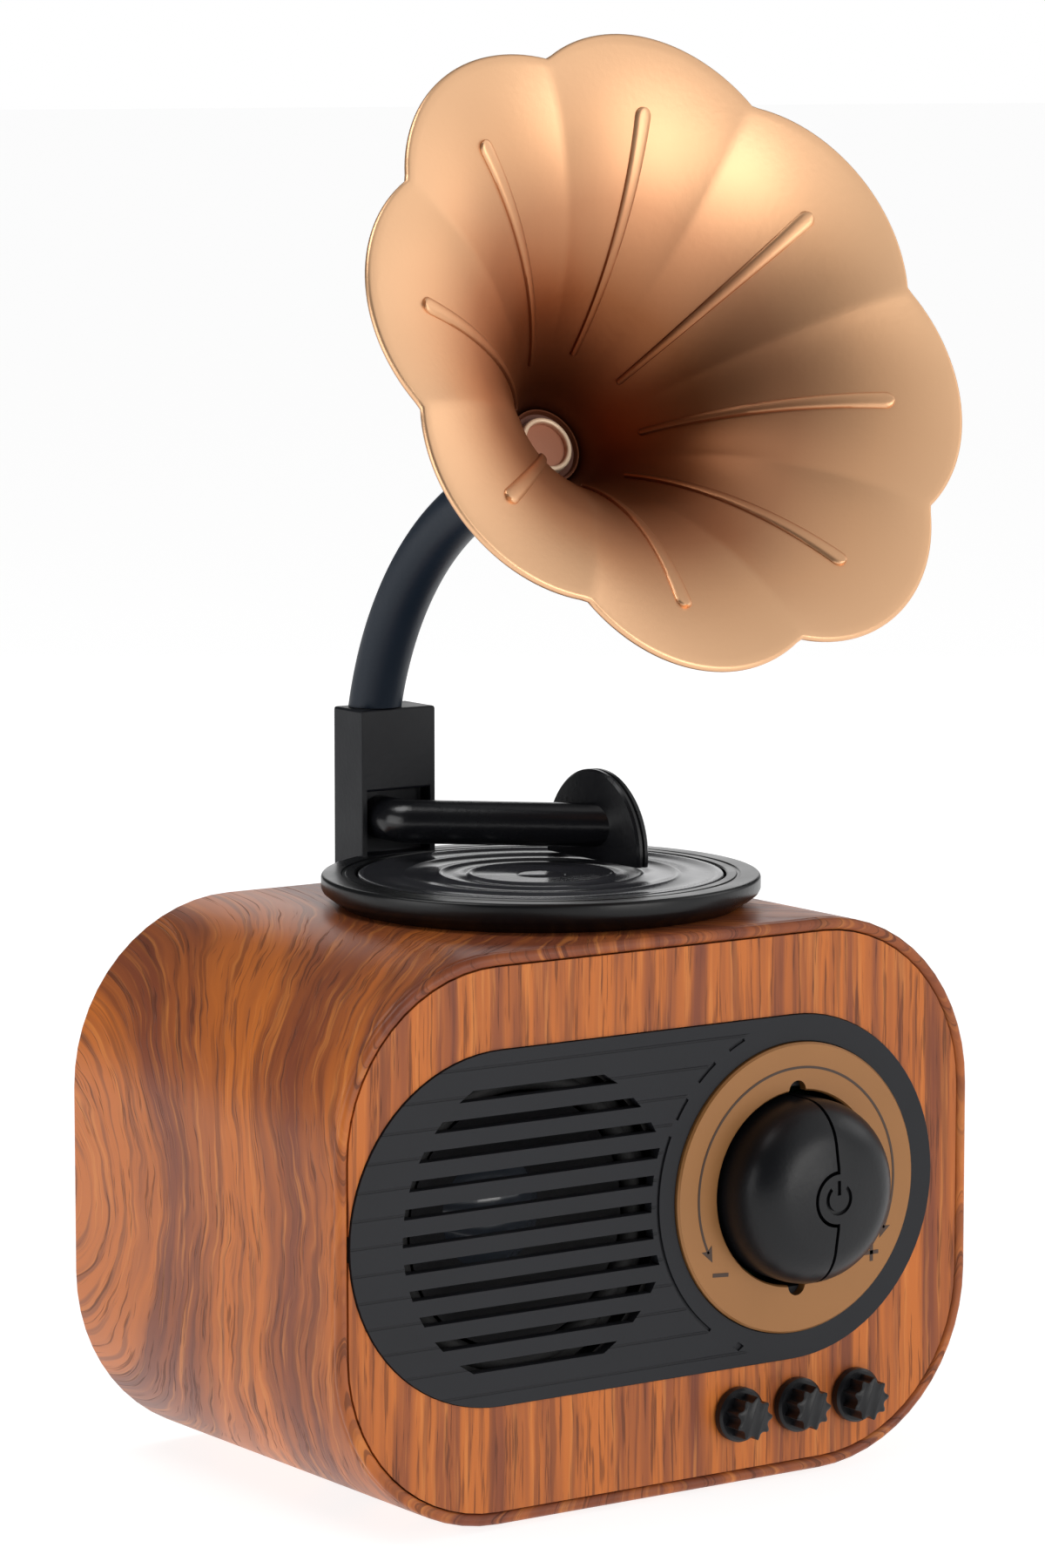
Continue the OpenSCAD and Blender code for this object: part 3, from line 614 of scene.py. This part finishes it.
def band(place, radius, width, height, start, end, steps=48):
    """Part of a flat ring, its angles in degrees, standing on place's XY plane."""
    bm = bmesh.new()
    half = width / 2
    corners = [(radius - half, 0), (radius + half, 0), (radius + half, height), (radius - half, height)]
    turn = Matrix.Rotation(radians(start), 3, "Z")
    face = bm.faces.new([bm.verts.new(turn @ Vector((r, 0, h))) for r, h in corners])
    bmesh.ops.spin(bm, geom=[face], cent=(0, 0, 0), axis=(0, 0, 1), dvec=(0, 0, 0),
                   angle=radians(end - start), steps=steps, use_duplicate=False)
    bmesh.ops.recalc_face_normals(bm, faces=bm.faces)
    bmesh.ops.transform(bm, matrix=place, verts=bm.verts)
    return bm


GRILLE_T = grille_high.y - grille_low.y
GROOVE_R = 20.8 * MM
SCORE = 0.35 * MM
grille = slab(grille_outline(GRILLE_R), GRILLE_FACE, GRILLE_T)
cuts = [slot_cutter(k - (SLOTS - 1) / 2) for k in range(SLOTS)]
cuts += [disc(DIAL.x, DIAL.z, RING_R + 0.12 * MM, GRILLE_FACE - OVER, OVER + 0.6 * MM, 96)]
cuts += [disc(DIAL.x, DIAL.z, DIAL_HOLE_R, GRILLE_FACE, GRILLE_T + OVER, 96)]
scored = facing_front(DIAL.x, GRILLE_FACE + SCORE, DIAL.z)
cuts += [band(scored, GROOVE_R, 0.4 * MM, 2 * SCORE, *ends) for ends in
         ((112, 119), (126, 135), (142, 150), (156, 232))]
mark = Vector((GROOVE_R * cos(radians(246)), GROOVE_R * sin(radians(246))))
tips = ((-0.8, 0), (0, -0.55), (0.8, 0), (0, 0.55))
diamond = [Vector((DIAL.x, DIAL.z)) + mark + Vector(tip) * MM for tip in tips]
cuts += [slab(diamond, GRILLE_FACE - OVER, OVER + SCORE)]
for cut in cuts:
    grille = carve(grille, cut)
piece("grille", grille, "cabinet", grille_look(), ["grille_panel"], edge=0.12 * MM)

RING_FACE = ring_low.y
RING_T = ring_high.y - ring_low.y
bronze = plain("bronze", tint(150, 103, 58), 0.36, metal=0.35, spread=0.06, bump=0.01)
ring_profile = [(RING_HOLE, 0), (RING_R, 0), (RING_R, RING_T - 0.25 * MM), (RING_R - 0.25 * MM, RING_T),
                (RING_HOLE + 0.2 * MM, RING_T), (RING_HOLE, RING_T - 0.2 * MM)]
ring = lathe(ring_profile, facing_front(DIAL.x, RING_FACE + RING_T, DIAL.z), 128, closed=True)
NICK_R = 1.3 * MM
for up in (-1, 1):
    ring = carve(ring, disc(DIAL.x, DIAL.z + up * RING_HOLE, NICK_R, RING_FACE - OVER, RING_T + 2 * OVER, 32))
piece("dial_ring_bronze", ring, "cabinet", bronze, ["dial_ring"])

# Printed on the ring: a long double-headed arrow over the dial, a minus sign and a plus sign
PRINT = 0.06 * MM
printed = facing_front(DIAL.x, RING_FACE + 0.02 * MM, DIAL.z)


def print_bar(angle, radius, length, width, turn):
    """A short printed bar, turned by so many degrees from level."""
    centre = Vector((DIAL.x + radius * cos(radians(angle)), DIAL.z + radius * sin(radians(angle))))
    spin = Matrix.Rotation(radians(turn), 2)
    corners = ((-1, -1), (1, -1), (1, 1), (-1, 1))
    points = [centre + spin @ Vector((a * length / 2, b * width / 2)) for a, b in corners]
    return slab(points, RING_FACE - PRINT + 0.02 * MM, PRINT)


def arrow_head(angle, radius, along):
    centre = Vector((DIAL.x + radius * cos(radians(angle)), DIAL.z + radius * sin(radians(angle))))
    spin = Matrix.Rotation(radians(angle + 90 * along), 2)
    points = [centre + spin @ Vector(p) * MM for p in ((1.3, 0), (-0.7, 0.85), (-0.3, 0), (-0.7, -0.85))]
    return slab(points, RING_FACE - PRINT + 0.02 * MM, PRINT)


ARROW_R = 15.1 * MM
marks = [band(printed, ARROW_R, 0.32 * MM, PRINT, -26, 206, 96)]
marks += [arrow_head(206, ARROW_R, 1), arrow_head(-26, ARROW_R, -1)]
marks += [print_bar(219, ARROW_R, 2.4 * MM, 0.5 * MM, -4), print_bar(-39, ARROW_R, 2.2 * MM, 0.5 * MM, 0)]
marks += [print_bar(-39, ARROW_R, 2.2 * MM, 0.5 * MM, 90)]
ink = plain("brown_ink", tint(62, 40, 24), 0.5, bump=0)
piece("dial_print", joined(marks), "cabinet", ink)

KNOB_BACK = knob_high.y
KNOB_LEN = knob_high.y - knob_low.y
SHOULDER = 6 * MM
SPLIT = 0.42 * MM
BULGE = 3.3 * MM


def knob_solid():
    top = KNOB_LEN - 0.5 * MM - SHOULDER
    profile = [(0, 0), (KNOB_R, 0)] + arc(KNOB_R - SHOULDER, top, SHOULDER, 0, 84, 12)
    profile += [(KNOB_R / 3, KNOB_LEN - 0.12 * MM), (KNOB_R / 6, KNOB_LEN - 0.03 * MM), (0, KNOB_LEN)]
    return lathe(profile, facing_front(DIAL.x, KNOB_BACK, DIAL.z), 128)


def right_side(grow):
    """A cutter: everything right of the knob's groove, with the round bulge to the left."""
    x = DIAL.x - grow
    low, high = DIAL.z - KNOB_R - OVER, DIAL.z + KNOB_R + OVER
    half = BULGE + grow
    rise = degrees(acos(grow / half))
    points = [Vector((x, low)), Vector((DIAL.x + KNOB_R + OVER, low)), Vector((DIAL.x + KNOB_R + OVER, high)),
              Vector((x, high))]
    points += [Vector(p) for p in arc(DIAL.x, DIAL.z, half, 180 - rise, 180 + rise, 24)]
    return slab(points, KNOB_BACK - KNOB_LEN - OVER, KNOB_LEN + 2 * OVER)


knob_black = plain("knob_black", tint(18, 19, 22), 0.34, spread=0.05, Specular_IOR_Level=0.3)
left_half = carve(knob_solid(), right_side(SPLIT / 2))
right_half = carve(knob_solid(), right_side(-SPLIT / 2), "INTERSECT")
engraved = facing_front(DIAL.x, KNOB_BACK - KNOB_LEN + 0.5 * MM, DIAL.z)
right_half = carve(right_half, band(engraved, 1.75 * MM, 0.5 * MM, 1 * MM, 130, 410, 40))
bar = rectangle(DIAL.x - 0.25 * MM, DIAL.z + 0.5 * MM, DIAL.x + 0.25 * MM, DIAL.z + 2.3 * MM)
right_half = carve(right_half, slab(bar, KNOB_BACK - KNOB_LEN - OVER, OVER + 0.5 * MM))
piece("dial_left_half", left_half, "dial", knob_black, ["dial_knob_left"], edge=0.14 * MM)
piece("dial_right_half", right_half, "dial", knob_black, ["dial_knob_right"], edge=0.1 * MM)


# ---------- three small knobs ----------

FLUTES = 9


def tone_knob(side):
    """A round skirt with a fluted grip in front of it."""
    node = "tone_knob_" + side
    low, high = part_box(node)
    x, z = middle(node).x, middle(node).z
    skirt = [(0, 0), (3.4 * MM, 0), (3.4 * MM, 0.9 * MM), (3.1 * MM, 1.2 * MM), (0, 1.2 * MM)]
    bm = lathe(skirt, facing_front(x, high.y, z), 64)
    outline = []
    for k in range(FLUTES * 8):
        wave = 0.5 + 0.5 * cos(2 * pi * k / 8)
        radius = (2.15 + 0.6 * wave ** 1.6) * MM
        turn = 2 * pi * k / (FLUTES * 8)
        outline.append(Vector((x + radius * cos(turn), z + radius * sin(turn))))
    grip = slab(outline, low.y, high.y - low.y - 0.6 * MM)
    front_face = [f for f in grip.faces if f.normal.y < -0.9]
    bmesh.ops.inset_region(grip, faces=front_face, thickness=0.3 * MM, depth=0.18 * MM)
    knob = joined([bm, grip])
    piece("small_knob_" + side, knob, "tone_" + side, knob_black, [node], sharp=35)


for side in SIDES:
    tone_knob(side)


# ---------- turntable ----------

def upright(x, y, z):
    return Matrix.Translation((x, y, z))


def ridge(radius, low, high, width=1.0 * MM, steps=4):
    """The section of a raised ring, its edges rounded."""
    points = []
    for k in range(steps + 1):
        share = k / steps
        points.append((radius - width / 2 + width * share, low + (high - low) * sin(pi * share) ** 0.6))
    return points


deck_black = plain("deck_black", tint(14, 15, 17), 0.3, spread=0.08, bump=0.012, Specular_IOR_Level=0.3)
AXLE_HOLE_R = 2.1 * MM
WELL_FLOOR = 2.1 * MM
RIM_IN = RECORD_R + 0.3 * MM
deck_profile = [(AXLE_HOLE_R, 0), (DECK_R - 2.6 * MM, 0)]
deck_profile += [(DECK_R - 0.9 * MM, 1.15 * MM), (DECK_R - 0.25 * MM, 1.65 * MM), (DECK_R, 2.15 * MM)]
deck_profile += arc(DECK_R - 0.5 * MM, DECK_H - 0.5 * MM, 0.5 * MM, 0, 90, 5)
deck_profile += [(RECORD_R + 2.1 * MM, DECK_H), (RECORD_R + 1.95 * MM, DECK_H - 0.15 * MM)]
deck_profile += [(RECORD_R + 1.65 * MM, DECK_H - 0.15 * MM), (RECORD_R + 1.5 * MM, DECK_H)]
deck_profile += [(RIM_IN + 0.15 * MM, DECK_H), (RIM_IN, DECK_H - 0.15 * MM)]
deck_profile += [(RIM_IN, WELL_FLOOR), (AXLE_HOLE_R, WELL_FLOOR)]
deck = lathe(deck_profile, upright(DECK.x, 0, TOP), 160, closed=True)
notch_low = Vector((post_low.x - 0.1 * MM, post_low.y - 0.1 * MM, TOP - OVER))
notch_high = Vector((post_high.x + 0.1 * MM, post_high.y + 9 * MM, TOP + DECK_H + OVER))
deck = carve(deck, block(notch_low, notch_high))
piece("deck", deck, "cabinet", deck_black, ["deck_disc"])

RECORD_T = record_high.z - record_low.z
FLAT = RECORD_T - 0.3 * MM
record_profile = [(0, 0), (RECORD_R, 0), (RECORD_R, RECORD_T - 0.25 * MM)]
record_profile += [(RECORD_R - 0.2 * MM, RECORD_T - 0.04 * MM), (RECORD_R - 0.9 * MM, RECORD_T - 0.02 * MM)]
record_profile += [(RECORD_R - 1.3 * MM, FLAT)]
for radius in (17.3, 12.7, 9.0):
    record_profile += reversed(ridge(radius * MM, FLAT, RECORD_T))
record_profile += [(3.2 * MM, FLAT), (3.0 * MM, FLAT - 0.12 * MM), (2.8 * MM, FLAT), (0, FLAT)]
record_black = plain("record_black", tint(46, 47, 51), 0.22, spread=0.08, bump=0.01, Specular_IOR_Level=0.4)
record = lathe(record_profile, upright(DECK.x, 0, record_low.z), 160)
piece("record_disc", record, "turntable", record_black, ["record"], sharp=50)

ARM_R = 2.8 * MM
ARM_Z = TOP + 8.6 * MM
DOOR_WALL, DOOR_IN = 0.8 * MM, 2.2 * MM
door_low = Vector((post_low.x + DOOR_WALL, post_low.y - OVER, TOP + DECK_H + 0.1 * MM))
door_high = Vector((post_high.x - DOOR_WALL, post_low.y + DOOR_IN, ARM_Z + ARM_R + 0.8 * MM))
post = carve(block(post_low, post_high), block(door_low, door_high))
post_black = plain("post_black", tint(18, 20, 25), 0.42, spread=0.08, Specular_IOR_Level=0.25)
piece("post", post, "cabinet", post_black, ["horn_post"], edge=0.35 * MM, edge_steps=3)


# ---------- tonearm ----------

def pipe(path, radius, steps):
    """A round pipe along a path of points, closed at both ends."""
    loops = []
    side = None
    for i, point in enumerate(path):
        ahead = (path[min(i + 1, len(path) - 1)] - path[max(i - 1, 0)]).normalized()
        if side is None:
            side = ahead.orthogonal().normalized()
        side = (side - ahead * side.dot(ahead)).normalized()
        other = ahead.cross(side)
        loops.append([point + (side * cos(2 * pi * k / steps) + other * sin(2 * pi * k / steps)) * radius
                      for k in range(steps)])
    return loft(loops)


ARM_FROM = Vector((-4.2, 20.4, 0)) * MM
ARM_TO = Vector((13.6, 3.8, 0)) * MM
ARM_BEND_R = 3.4 * MM
arm_past = ARM_TO + Vector((4, -3.73, 0)) * MM
bend = rounded([(ARM_FROM.x, post_low.y + DOOR_IN - 0.3 * MM, 0),
                (ARM_FROM.x, ARM_FROM.y - 0.4 * MM, ARM_BEND_R), (arm_past.x, arm_past.y, 0)], 10)
arm = cut_off(pipe([Vector((p.x, p.y, ARM_Z)) for p in bend], ARM_R, 40), ARM_TO, (1, 0, 0))
gloss_black = plain("arm_black", tint(16, 17, 20), 0.26, spread=0.05, Specular_IOR_Level=0.4)
piece("arm_tube", arm, "arm", gloss_black, ["tonearm"], sharp=50)

# The sound box: a disc across the arm's end, cut off level just above the record
box_low, box_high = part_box("soundbox")
BOX_R = (box_high.y - box_low.y) / 2
BOX_T = box_high.x - box_low.x
BOX_MIDDLE = Vector((box_low.x, middle("soundbox").y, box_high.z - BOX_R))
BOX_IN = BOX_R - 0.3 * MM
box_profile = [(0, 0), (BOX_IN, 0), (BOX_R, 0.3 * MM), (BOX_R, 0.65 * MM), (BOX_IN, 0.8 * MM),
               (BOX_IN, 0.95 * MM), (BOX_R, 1.1 * MM), (BOX_R, BOX_T - 0.3 * MM), (BOX_IN, BOX_T), (0, BOX_T)]
box = lathe(box_profile, Matrix.Translation(BOX_MIDDLE) @ Matrix.Rotation(pi / 2, 4, "Y"), 96)
box = cut_off(box, box_low, (0, 0, -1))
piece("sound_box", box, "arm", gloss_black, ["soundbox"], sharp=35)


# ---------- horn ----------

THROAT_PLACE = Matrix.Translation(THROAT) @ Matrix.Rotation(pi / 2 - TILT, 4, "X")

BEND_FROM = radians(12)
path = []
for k in range(37):
    turn = BEND_FROM + (BEND_TO - BEND_FROM) * k / 36
    path.append(BEND_MIDDLE + Vector((0, cos(turn), sin(turn))) * BEND_R)
path.append(THROAT - HORN_WAY * MM)
tube = cut_off(pipe(path, TUBE_R, 48), (0, 0, post_high.z + 0.1 * MM), (0, 0, -1))
tube_black = plain("tube_black", tint(22, 32, 44), 0.42, spread=0.08, Specular_IOR_Level=0.25)
piece("horn_tube", tube, "horn", tube_black, ["elbow_tube"], sharp=50)

# The deep colour is painted shade in the throat.
gold = horn_look("horn_gold", tint(236, 190, 148), tint(72, 36, 20))
SLEEVE = 8 * MM
SLEEVE_IN = TUBE_R + 0.12 * MM
sleeve_profile = [(SLEEVE_IN, -SLEEVE), (TUBE_R + 0.7 * MM, -SLEEVE), (TUBE_R + 0.95 * MM, 0.3 * MM - SLEEVE),
                  (THROAT_R + BELL_T, -0.4 * MM), (SLEEVE_IN, -0.4 * MM)]
sleeve = lathe(sleeve_profile, THROAT_PLACE, 64, closed=True)
piece("throat_sleeve", sleeve, "horn", gold, ["throat_collar"])


def throat_look():
    """A pinkish disc in a bright ring, and dark gold outside the ring."""
    look = Look("throat_pink", Metallic=0.2, Roughness=0.4)
    across = look.math("SUBTRACT", look.x, THROAT.x / MM)
    up = look.math("MULTIPLY", look.math("SUBTRACT", look.z, THROAT.z / MM), cos(TILT))
    up = look.math("ADD", up, look.math("MULTIPLY", look.math("SUBTRACT", look.y, THROAT.y / MM), sin(TILT)))
    uneven = look.math("MULTIPLY", look.noise(look.place, 1.5), 0.1)
    share = look.math("DIVIDE", look.math("ADD", look.reach(across, up), uneven), 5.0)
    bright, dark = tint(244, 216, 184), tint(92, 48, 28)
    look.set("Base Color", look.ramp(share, (0.57, tint(176, 116, 88)), (0.6, bright), (0.7, bright),
                                     (0.74, dark), (0.93, dark), (0.96, tint(130, 78, 50))))
    look.bump(look.noise(look.place, 1.5, 2), 0.02 * MM)
    return look.material


cap_profile = [(0, -0.4 * MM), (THROAT_R - 0.1 * MM, -0.4 * MM), (THROAT_R - 0.1 * MM, 0.7 * MM)]
cap_profile += [(4.5 * MM, 0.8 * MM), (4.3 * MM, 0.3 * MM), (3.6 * MM, 0.2 * MM)]
cap_profile += arc(3.2 * MM, 1.0 * MM, 0.35 * MM, -10, 190, 8) + [(2.8 * MM, 0.62 * MM), (0, 0.8 * MM)]
piece("throat_disc", lathe(cap_profile, THROAT_PLACE, 64), "horn", throat_look(), ["throat_cap"])

# The slopes, in degrees, at which the bell's arc starts and ends
FLARE_FROM, RIM = 20, 79.5
LOBE_OFF, LOBE_R = 21.3 * MM, 20.1 * MM
LOBE_TURN = radians(-12.9)
CREST = LOBE_OFF + LOBE_R


def flare(angle, out=0.0):
    """(radius, height) on the bell's curved wall at a slope in degrees, out outside its inner face."""
    a = radians(angle)
    radius = THROAT_R + FLARE_R * (cos(radians(FLARE_FROM)) - cos(a)) + out * cos(a)
    return radius, FLARE_R * (sin(a) - sin(radians(FLARE_FROM))) - out * sin(a)


def lobe_edge(turn):
    """Radius of the scalloped rim in that direction."""
    off = (turn - LOBE_TURN) % (2 * pi / LOBES)
    off = min(off, 2 * pi / LOBES - off)
    return LOBE_OFF * cos(off) + sqrt(LOBE_R ** 2 - (LOBE_OFF * sin(off)) ** 2)


def petal(point):
    """Draws a point of the round bell in towards the scalloped rim, more so the nearer it is to the rim."""
    radius = hypot(point.x, point.y)
    if radius < THROAT_R:
        return point
    share = min(1, (radius - THROAT_R) / (CREST - THROAT_R))
    turn = atan2(point.y, point.x)
    pull = 1 - (1 - lobe_edge(turn) / CREST) * share ** 1.15
    return Vector((point.x * pull, point.y * pull, point.z))


inner = [flare(FLARE_FROM + (RIM - FLARE_FROM) * k / 44) for k in range(45)]
rim_middle = flare(RIM, BELL_T / 2)
rim = arc(rim_middle[0], rim_middle[1], BELL_T / 2, 180 - RIM, -RIM, 8)[1:-1]
outer = [flare(RIM - (RIM - FLARE_FROM) * k / 30, BELL_T) for k in range(31)]
bell = lathe(inner + rim + outer, Matrix(), 256, closed=True)
# Marks the bell's back, which is painted a darker brown, partly as painted shade along the rim's back edge.
# The wall's arc has its middle outside the horn.
arc_middle = Vector((THROAT_R + FLARE_R * cos(radians(FLARE_FROM)), -FLARE_R * sin(radians(FLARE_FROM))))
outside = bell.verts.layers.float.new("outside")
for v in bell.verts:
    out = FLARE_R - (Vector((hypot(v.co.x, v.co.y), v.co.z)) - arc_middle).length
    v[outside] = min(1, max(0, (out / BELL_T - 0.6) / 0.25))
    v.co = petal(v.co)
bmesh.ops.transform(bell, matrix=THROAT_PLACE, verts=bell.verts)
bmesh.ops.recalc_face_normals(bell, faces=bell.faces)
piece("bell", bell, "horn", gold, ["horn_bell"], sharp=60)


# The slopes, in degrees, at which a rib starts and ends, its height, and the half width where it reaches it
RIB_FROM, RIB_TO = 31.0, 69.5
RIB_TALL = 0.42 * MM
RIB_FULL = 0.35 * MM


def rib(turn):
    """A raised tongue along the middle of a petal, its ends rounded, narrowing into the throat."""
    loops = []
    count = 40
    length = radians(RIB_TO - RIB_FROM) * FLARE_R
    shares = [0.5 - 0.5 * cos(pi * k / count) for k in range(count + 1)]
    for share in shares[1:-1]:
        angle = RIB_FROM + (RIB_TO - RIB_FROM) * share
        half = (0.42 + 0.68 * share ** 1.2) * MM
        for left in ((1 - share) * length, share * length):
            if left < half:
                half = sqrt(half ** 2 - (half - left) ** 2)
        tall = RIB_TALL * min(1, half / RIB_FULL)
        loop = []
        for across, up in ((-1, -0.3), (-1, 0.25), (-0.8, 0.8), (-0.45, 1), (0, 1.05), (0.45, 1), (0.8, 0.8),
                           (1, 0.25), (1, -0.3)):
            radius, height = flare(angle, -up * tall)
            flat = Vector((radius, across * half, height))
            loop.append(petal(Matrix.Rotation(turn, 3, "Z") @ flat))
        loops.append(loop)
    bm = loft(loops)
    bmesh.ops.transform(bm, matrix=THROAT_PLACE, verts=bm.verts)
    return bm


ribs = joined([rib(LOBE_TURN + 2 * pi * k / LOBES) for k in range(LOBES)])
piece("bell_ribs", ribs, "horn", gold, sharp=40)


# ---------- driver, seen through the slots ----------

def driver_at(y):
    return facing_front(DRIVER.x, y, GRILLE_Z)


cone_low, cone_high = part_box("driver_cone")
CONE_IN, CONE_OUT = 7 * MM, 15.4 * MM
CONE_DEEP = cone_high.y - cone_low.y
CONE_T = 0.4 * MM
CONE_LIP = 0.7 * MM


def cone_wall(share, deep, thick):
    """(radius, height) on the cone's flaring wall, share of the way out."""
    return CONE_IN + (CONE_OUT - CONE_IN) * share, deep * share ** 1.12 + thick * (1 - share)


cone_profile = [(CONE_IN, CONE_T), (CONE_IN + 0.2 * MM, 0)]
cone_profile += [cone_wall(k / 8, CONE_DEEP - CONE_LIP, 0) for k in range(1, 9)]
cone_profile += [cone_wall(k / 8, CONE_DEEP, CONE_T) for k in range(8, 0, -1)]
cone_black = plain("cone_black", tint(30, 30, 33), 0.6, spread=0.2, grain=3, bump=0.04)
cone = lathe(cone_profile, driver_at(cone_high.y), 96, closed=True)
piece("cone", cone, "cone_assembly", cone_black, ["driver_cone"])

dome_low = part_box("dust_cap")[0]
DOME_R = 11 * MM
dome_edge = degrees(acos(CONE_IN / DOME_R))
dome_profile = arc(0, 0, DOME_R, dome_edge, 90, 12) + arc(0, 0, DOME_R - 0.4 * MM, 90, dome_edge + 2, 12)
dome = lathe(dome_profile, driver_at(dome_low.y + DOME_R), 96, closed=True)
dome_grey = plain("dome_grey", tint(64, 70, 80), 0.2, spread=0.06, bump=0, Coat_Weight=0.6,
                  Coat_Roughness=0.08)
piece("cone_dome", dome, "cone_assembly", dome_grey, ["dust_cap"])


# ---------- the other nodes keep their meshes, with these looks ----------

# The nodes that show through the slots are painted black as painted shade, whatever they are made of
shade_black = plain("shade_black", tint(24, 24, 26), 0.5)
LOOKS = {
    "wood_case": wood_rear,
    "grille_black": plain("satin_black", tint(50, 51, 55), 0.5),
    "bronze": bronze,
    "black_plastic": plain("black_plastic", tint(28, 29, 32), 0.42),
    "tube_black": tube_black,
    "horn_gold": gold,
    "rubber": plain("rubber", tint(30, 30, 31), 0.75, bump=0.05),
    "steel": plain("steel", tint(168, 170, 174), 0.32, metal=0.9),
    "ferrite": plain("ferrite", tint(58, 58, 60), 0.55, bump=0.04),
    "paper_cone": cone_black,
    "copper": plain("copper", tint(190, 110, 70), 0.35, metal=0.9),
    "board_green": plain("board_green", tint(22, 84, 52), 0.45),
    "white_plastic": plain("white_plastic", tint(225, 223, 215), 0.45),
    "battery_wrap": plain("battery_wrap", tint(40, 84, 160), 0.35),
    "tape": plain("tape", tint(196, 160, 60), 0.5),
    "lamp_lens": plain("lamp_lens", tint(110, 180, 225), 0.2, Transmission_Weight=0.3),
    "wire_red": plain("wire_red", tint(180, 36, 30), 0.45),
    "wire_grey": plain("wire_grey", tint(120, 122, 126), 0.5),
}
BEHIND_SLOTS = ("driver_frame", "driver_spider", "voice_coil", "magnet_front_plate")
for part in frame["record"]["subparts"]:
    mesh = frame["nodes"][part["node"]].data
    mesh.materials.clear()
    mesh.materials.append(shade_black if part["node"] in BEHIND_SLOTS else LOOKS[part["material_slot"]])


# ---------- floor, light and camera ----------

def stage_plane(name, size, material):
    bm = bmesh.new()
    bmesh.ops.create_grid(bm, x_segments=1, y_segments=1, size=size / 2)
    mesh = bpy.data.meshes.new(name)
    bm.to_mesh(mesh)
    bm.free()
    mesh.materials.append(material)
    floor = bpy.data.objects.new(name, mesh)
    scene.collection.objects.link(floor)


floor_pale = plain("floor_pale", tint(160, 160, 160), 0.9, spread=0.003, bump=0, Specular_IOR_Level=0.1)
floor_surface = floor_pale.node_tree.nodes["Principled BSDF"]
floor_surface.inputs["Emission Color"].default_value = (1, 1, 1, 1)
floor_surface.inputs["Emission Strength"].default_value = 0.85
stage_plane("floor", 30.0, floor_pale)

# The room is white where the camera looks. As a light it is bright in front, and dark behind and in a patch
# high on the left.
world = bpy.data.worlds.new("studio")
scene.world = world
world.use_nodes = True
room = world.node_tree
room.nodes.clear()


def room_node(kind, **inputs):
    node = room.nodes.new(kind)
    for socket, value in inputs.items():
        node.inputs[socket].default_value = value
    return node


way = room_node("ShaderNodeTexCoord")


def room_share(toward, low, high, at_low, at_high):
    """Eases from at_low to at_high as a direction turns towards the given one."""
    dot = room.nodes.new("ShaderNodeVectorMath")
    dot.operation = "DOT_PRODUCT"
    dot.inputs[1].default_value = Vector(toward).normalized()
    room.links.new(way.outputs["Generated"], dot.inputs[0])
    ease = room.nodes.new("ShaderNodeMapRange")
    ease.interpolation_type = "SMOOTHSTEP"
    for socket, value in zip(("From Min", "From Max", "To Min", "To Max"), (low, high, at_low, at_high)):
        ease.inputs[socket].default_value = value
    room.links.new(dot.outputs["Value"], ease.inputs["Value"])
    return ease.outputs[0]


strength = room.nodes.new("ShaderNodeMath")
strength.operation = "MULTIPLY"
room.links.new(room_share((0, -1, 0.1), -0.45, 0.2, 0.06, 0.76), strength.inputs[0])
room.links.new(room_share((-0.78, -0.4, 0.48), 0.5, 0.95, 1.0, 0.05), strength.inputs[1])
glow = room_node("ShaderNodeBackground", Color=(1, 1, 1, 1))
room.links.new(strength.outputs[0], glow.inputs["Strength"])
backdrop = room_node("ShaderNodeBackground", Color=(1, 1, 1, 1), Strength=1.0)
rays = room_node("ShaderNodeLightPath")
choice = room_node("ShaderNodeMixShader")
room.links.new(rays.outputs["Is Camera Ray"], choice.inputs[0])
room.links.new(glow.outputs[0], choice.inputs[1])
room.links.new(backdrop.outputs[0], choice.inputs[2])
room.links.new(choice.outputs[0], room_node("ShaderNodeOutputWorld").inputs[0])
scene.view_settings.view_transform = "Standard"

CENTRE = Vector((0, 0, 0.085))


def softbox(name, azimuth, elevation, distance, size, power, tone=(1, 1, 1)):
    """A square light aimed at the object. Azimuth 0 is in front, and 90 to the right."""
    light = bpy.data.lights.new(name, "AREA")
    light.shape = "SQUARE"
    light.size = size
    light.energy = power
    light.color = tone
    a, e = radians(azimuth), radians(elevation)
    way = Vector((sin(a) * cos(e), -cos(a) * cos(e), sin(e)))
    obj = bpy.data.objects.new(name, light)
    obj.location = CENTRE + way * distance
    obj.rotation_euler = way.to_track_quat("Z", "Y").to_euler()
    scene.collection.objects.link(obj)


softbox("key", 15, 6, 0.9, 0.5, 2.5, (1.0, 0.98, 0.95))
softbox("left_fill", -100, 6, 0.9, 0.6, 3.0)
softbox("right_rim", 75, 25, 0.9, 0.4, 0.5)
softbox("overhead", -120, 60, 0.8, 0.35, 2.0)
softbox("back", 145, 14, 0.9, 0.5, 1.0)

camera = bpy.data.cameras.new("camera")
camera.lens = 129.6
camera.sensor_width = 36
camera.clip_end = 50
eye = bpy.data.objects.new("camera", camera)
eye.location = Vector((-398.2, -574.9, 175.8)) * MM
aim = Vector((0.3, 0, 85.21)) * MM
eye.rotation_euler = (eye.location - aim).to_track_quat("Z", "Y").to_euler()
scene.collection.objects.link(eye)
scene.camera = eye
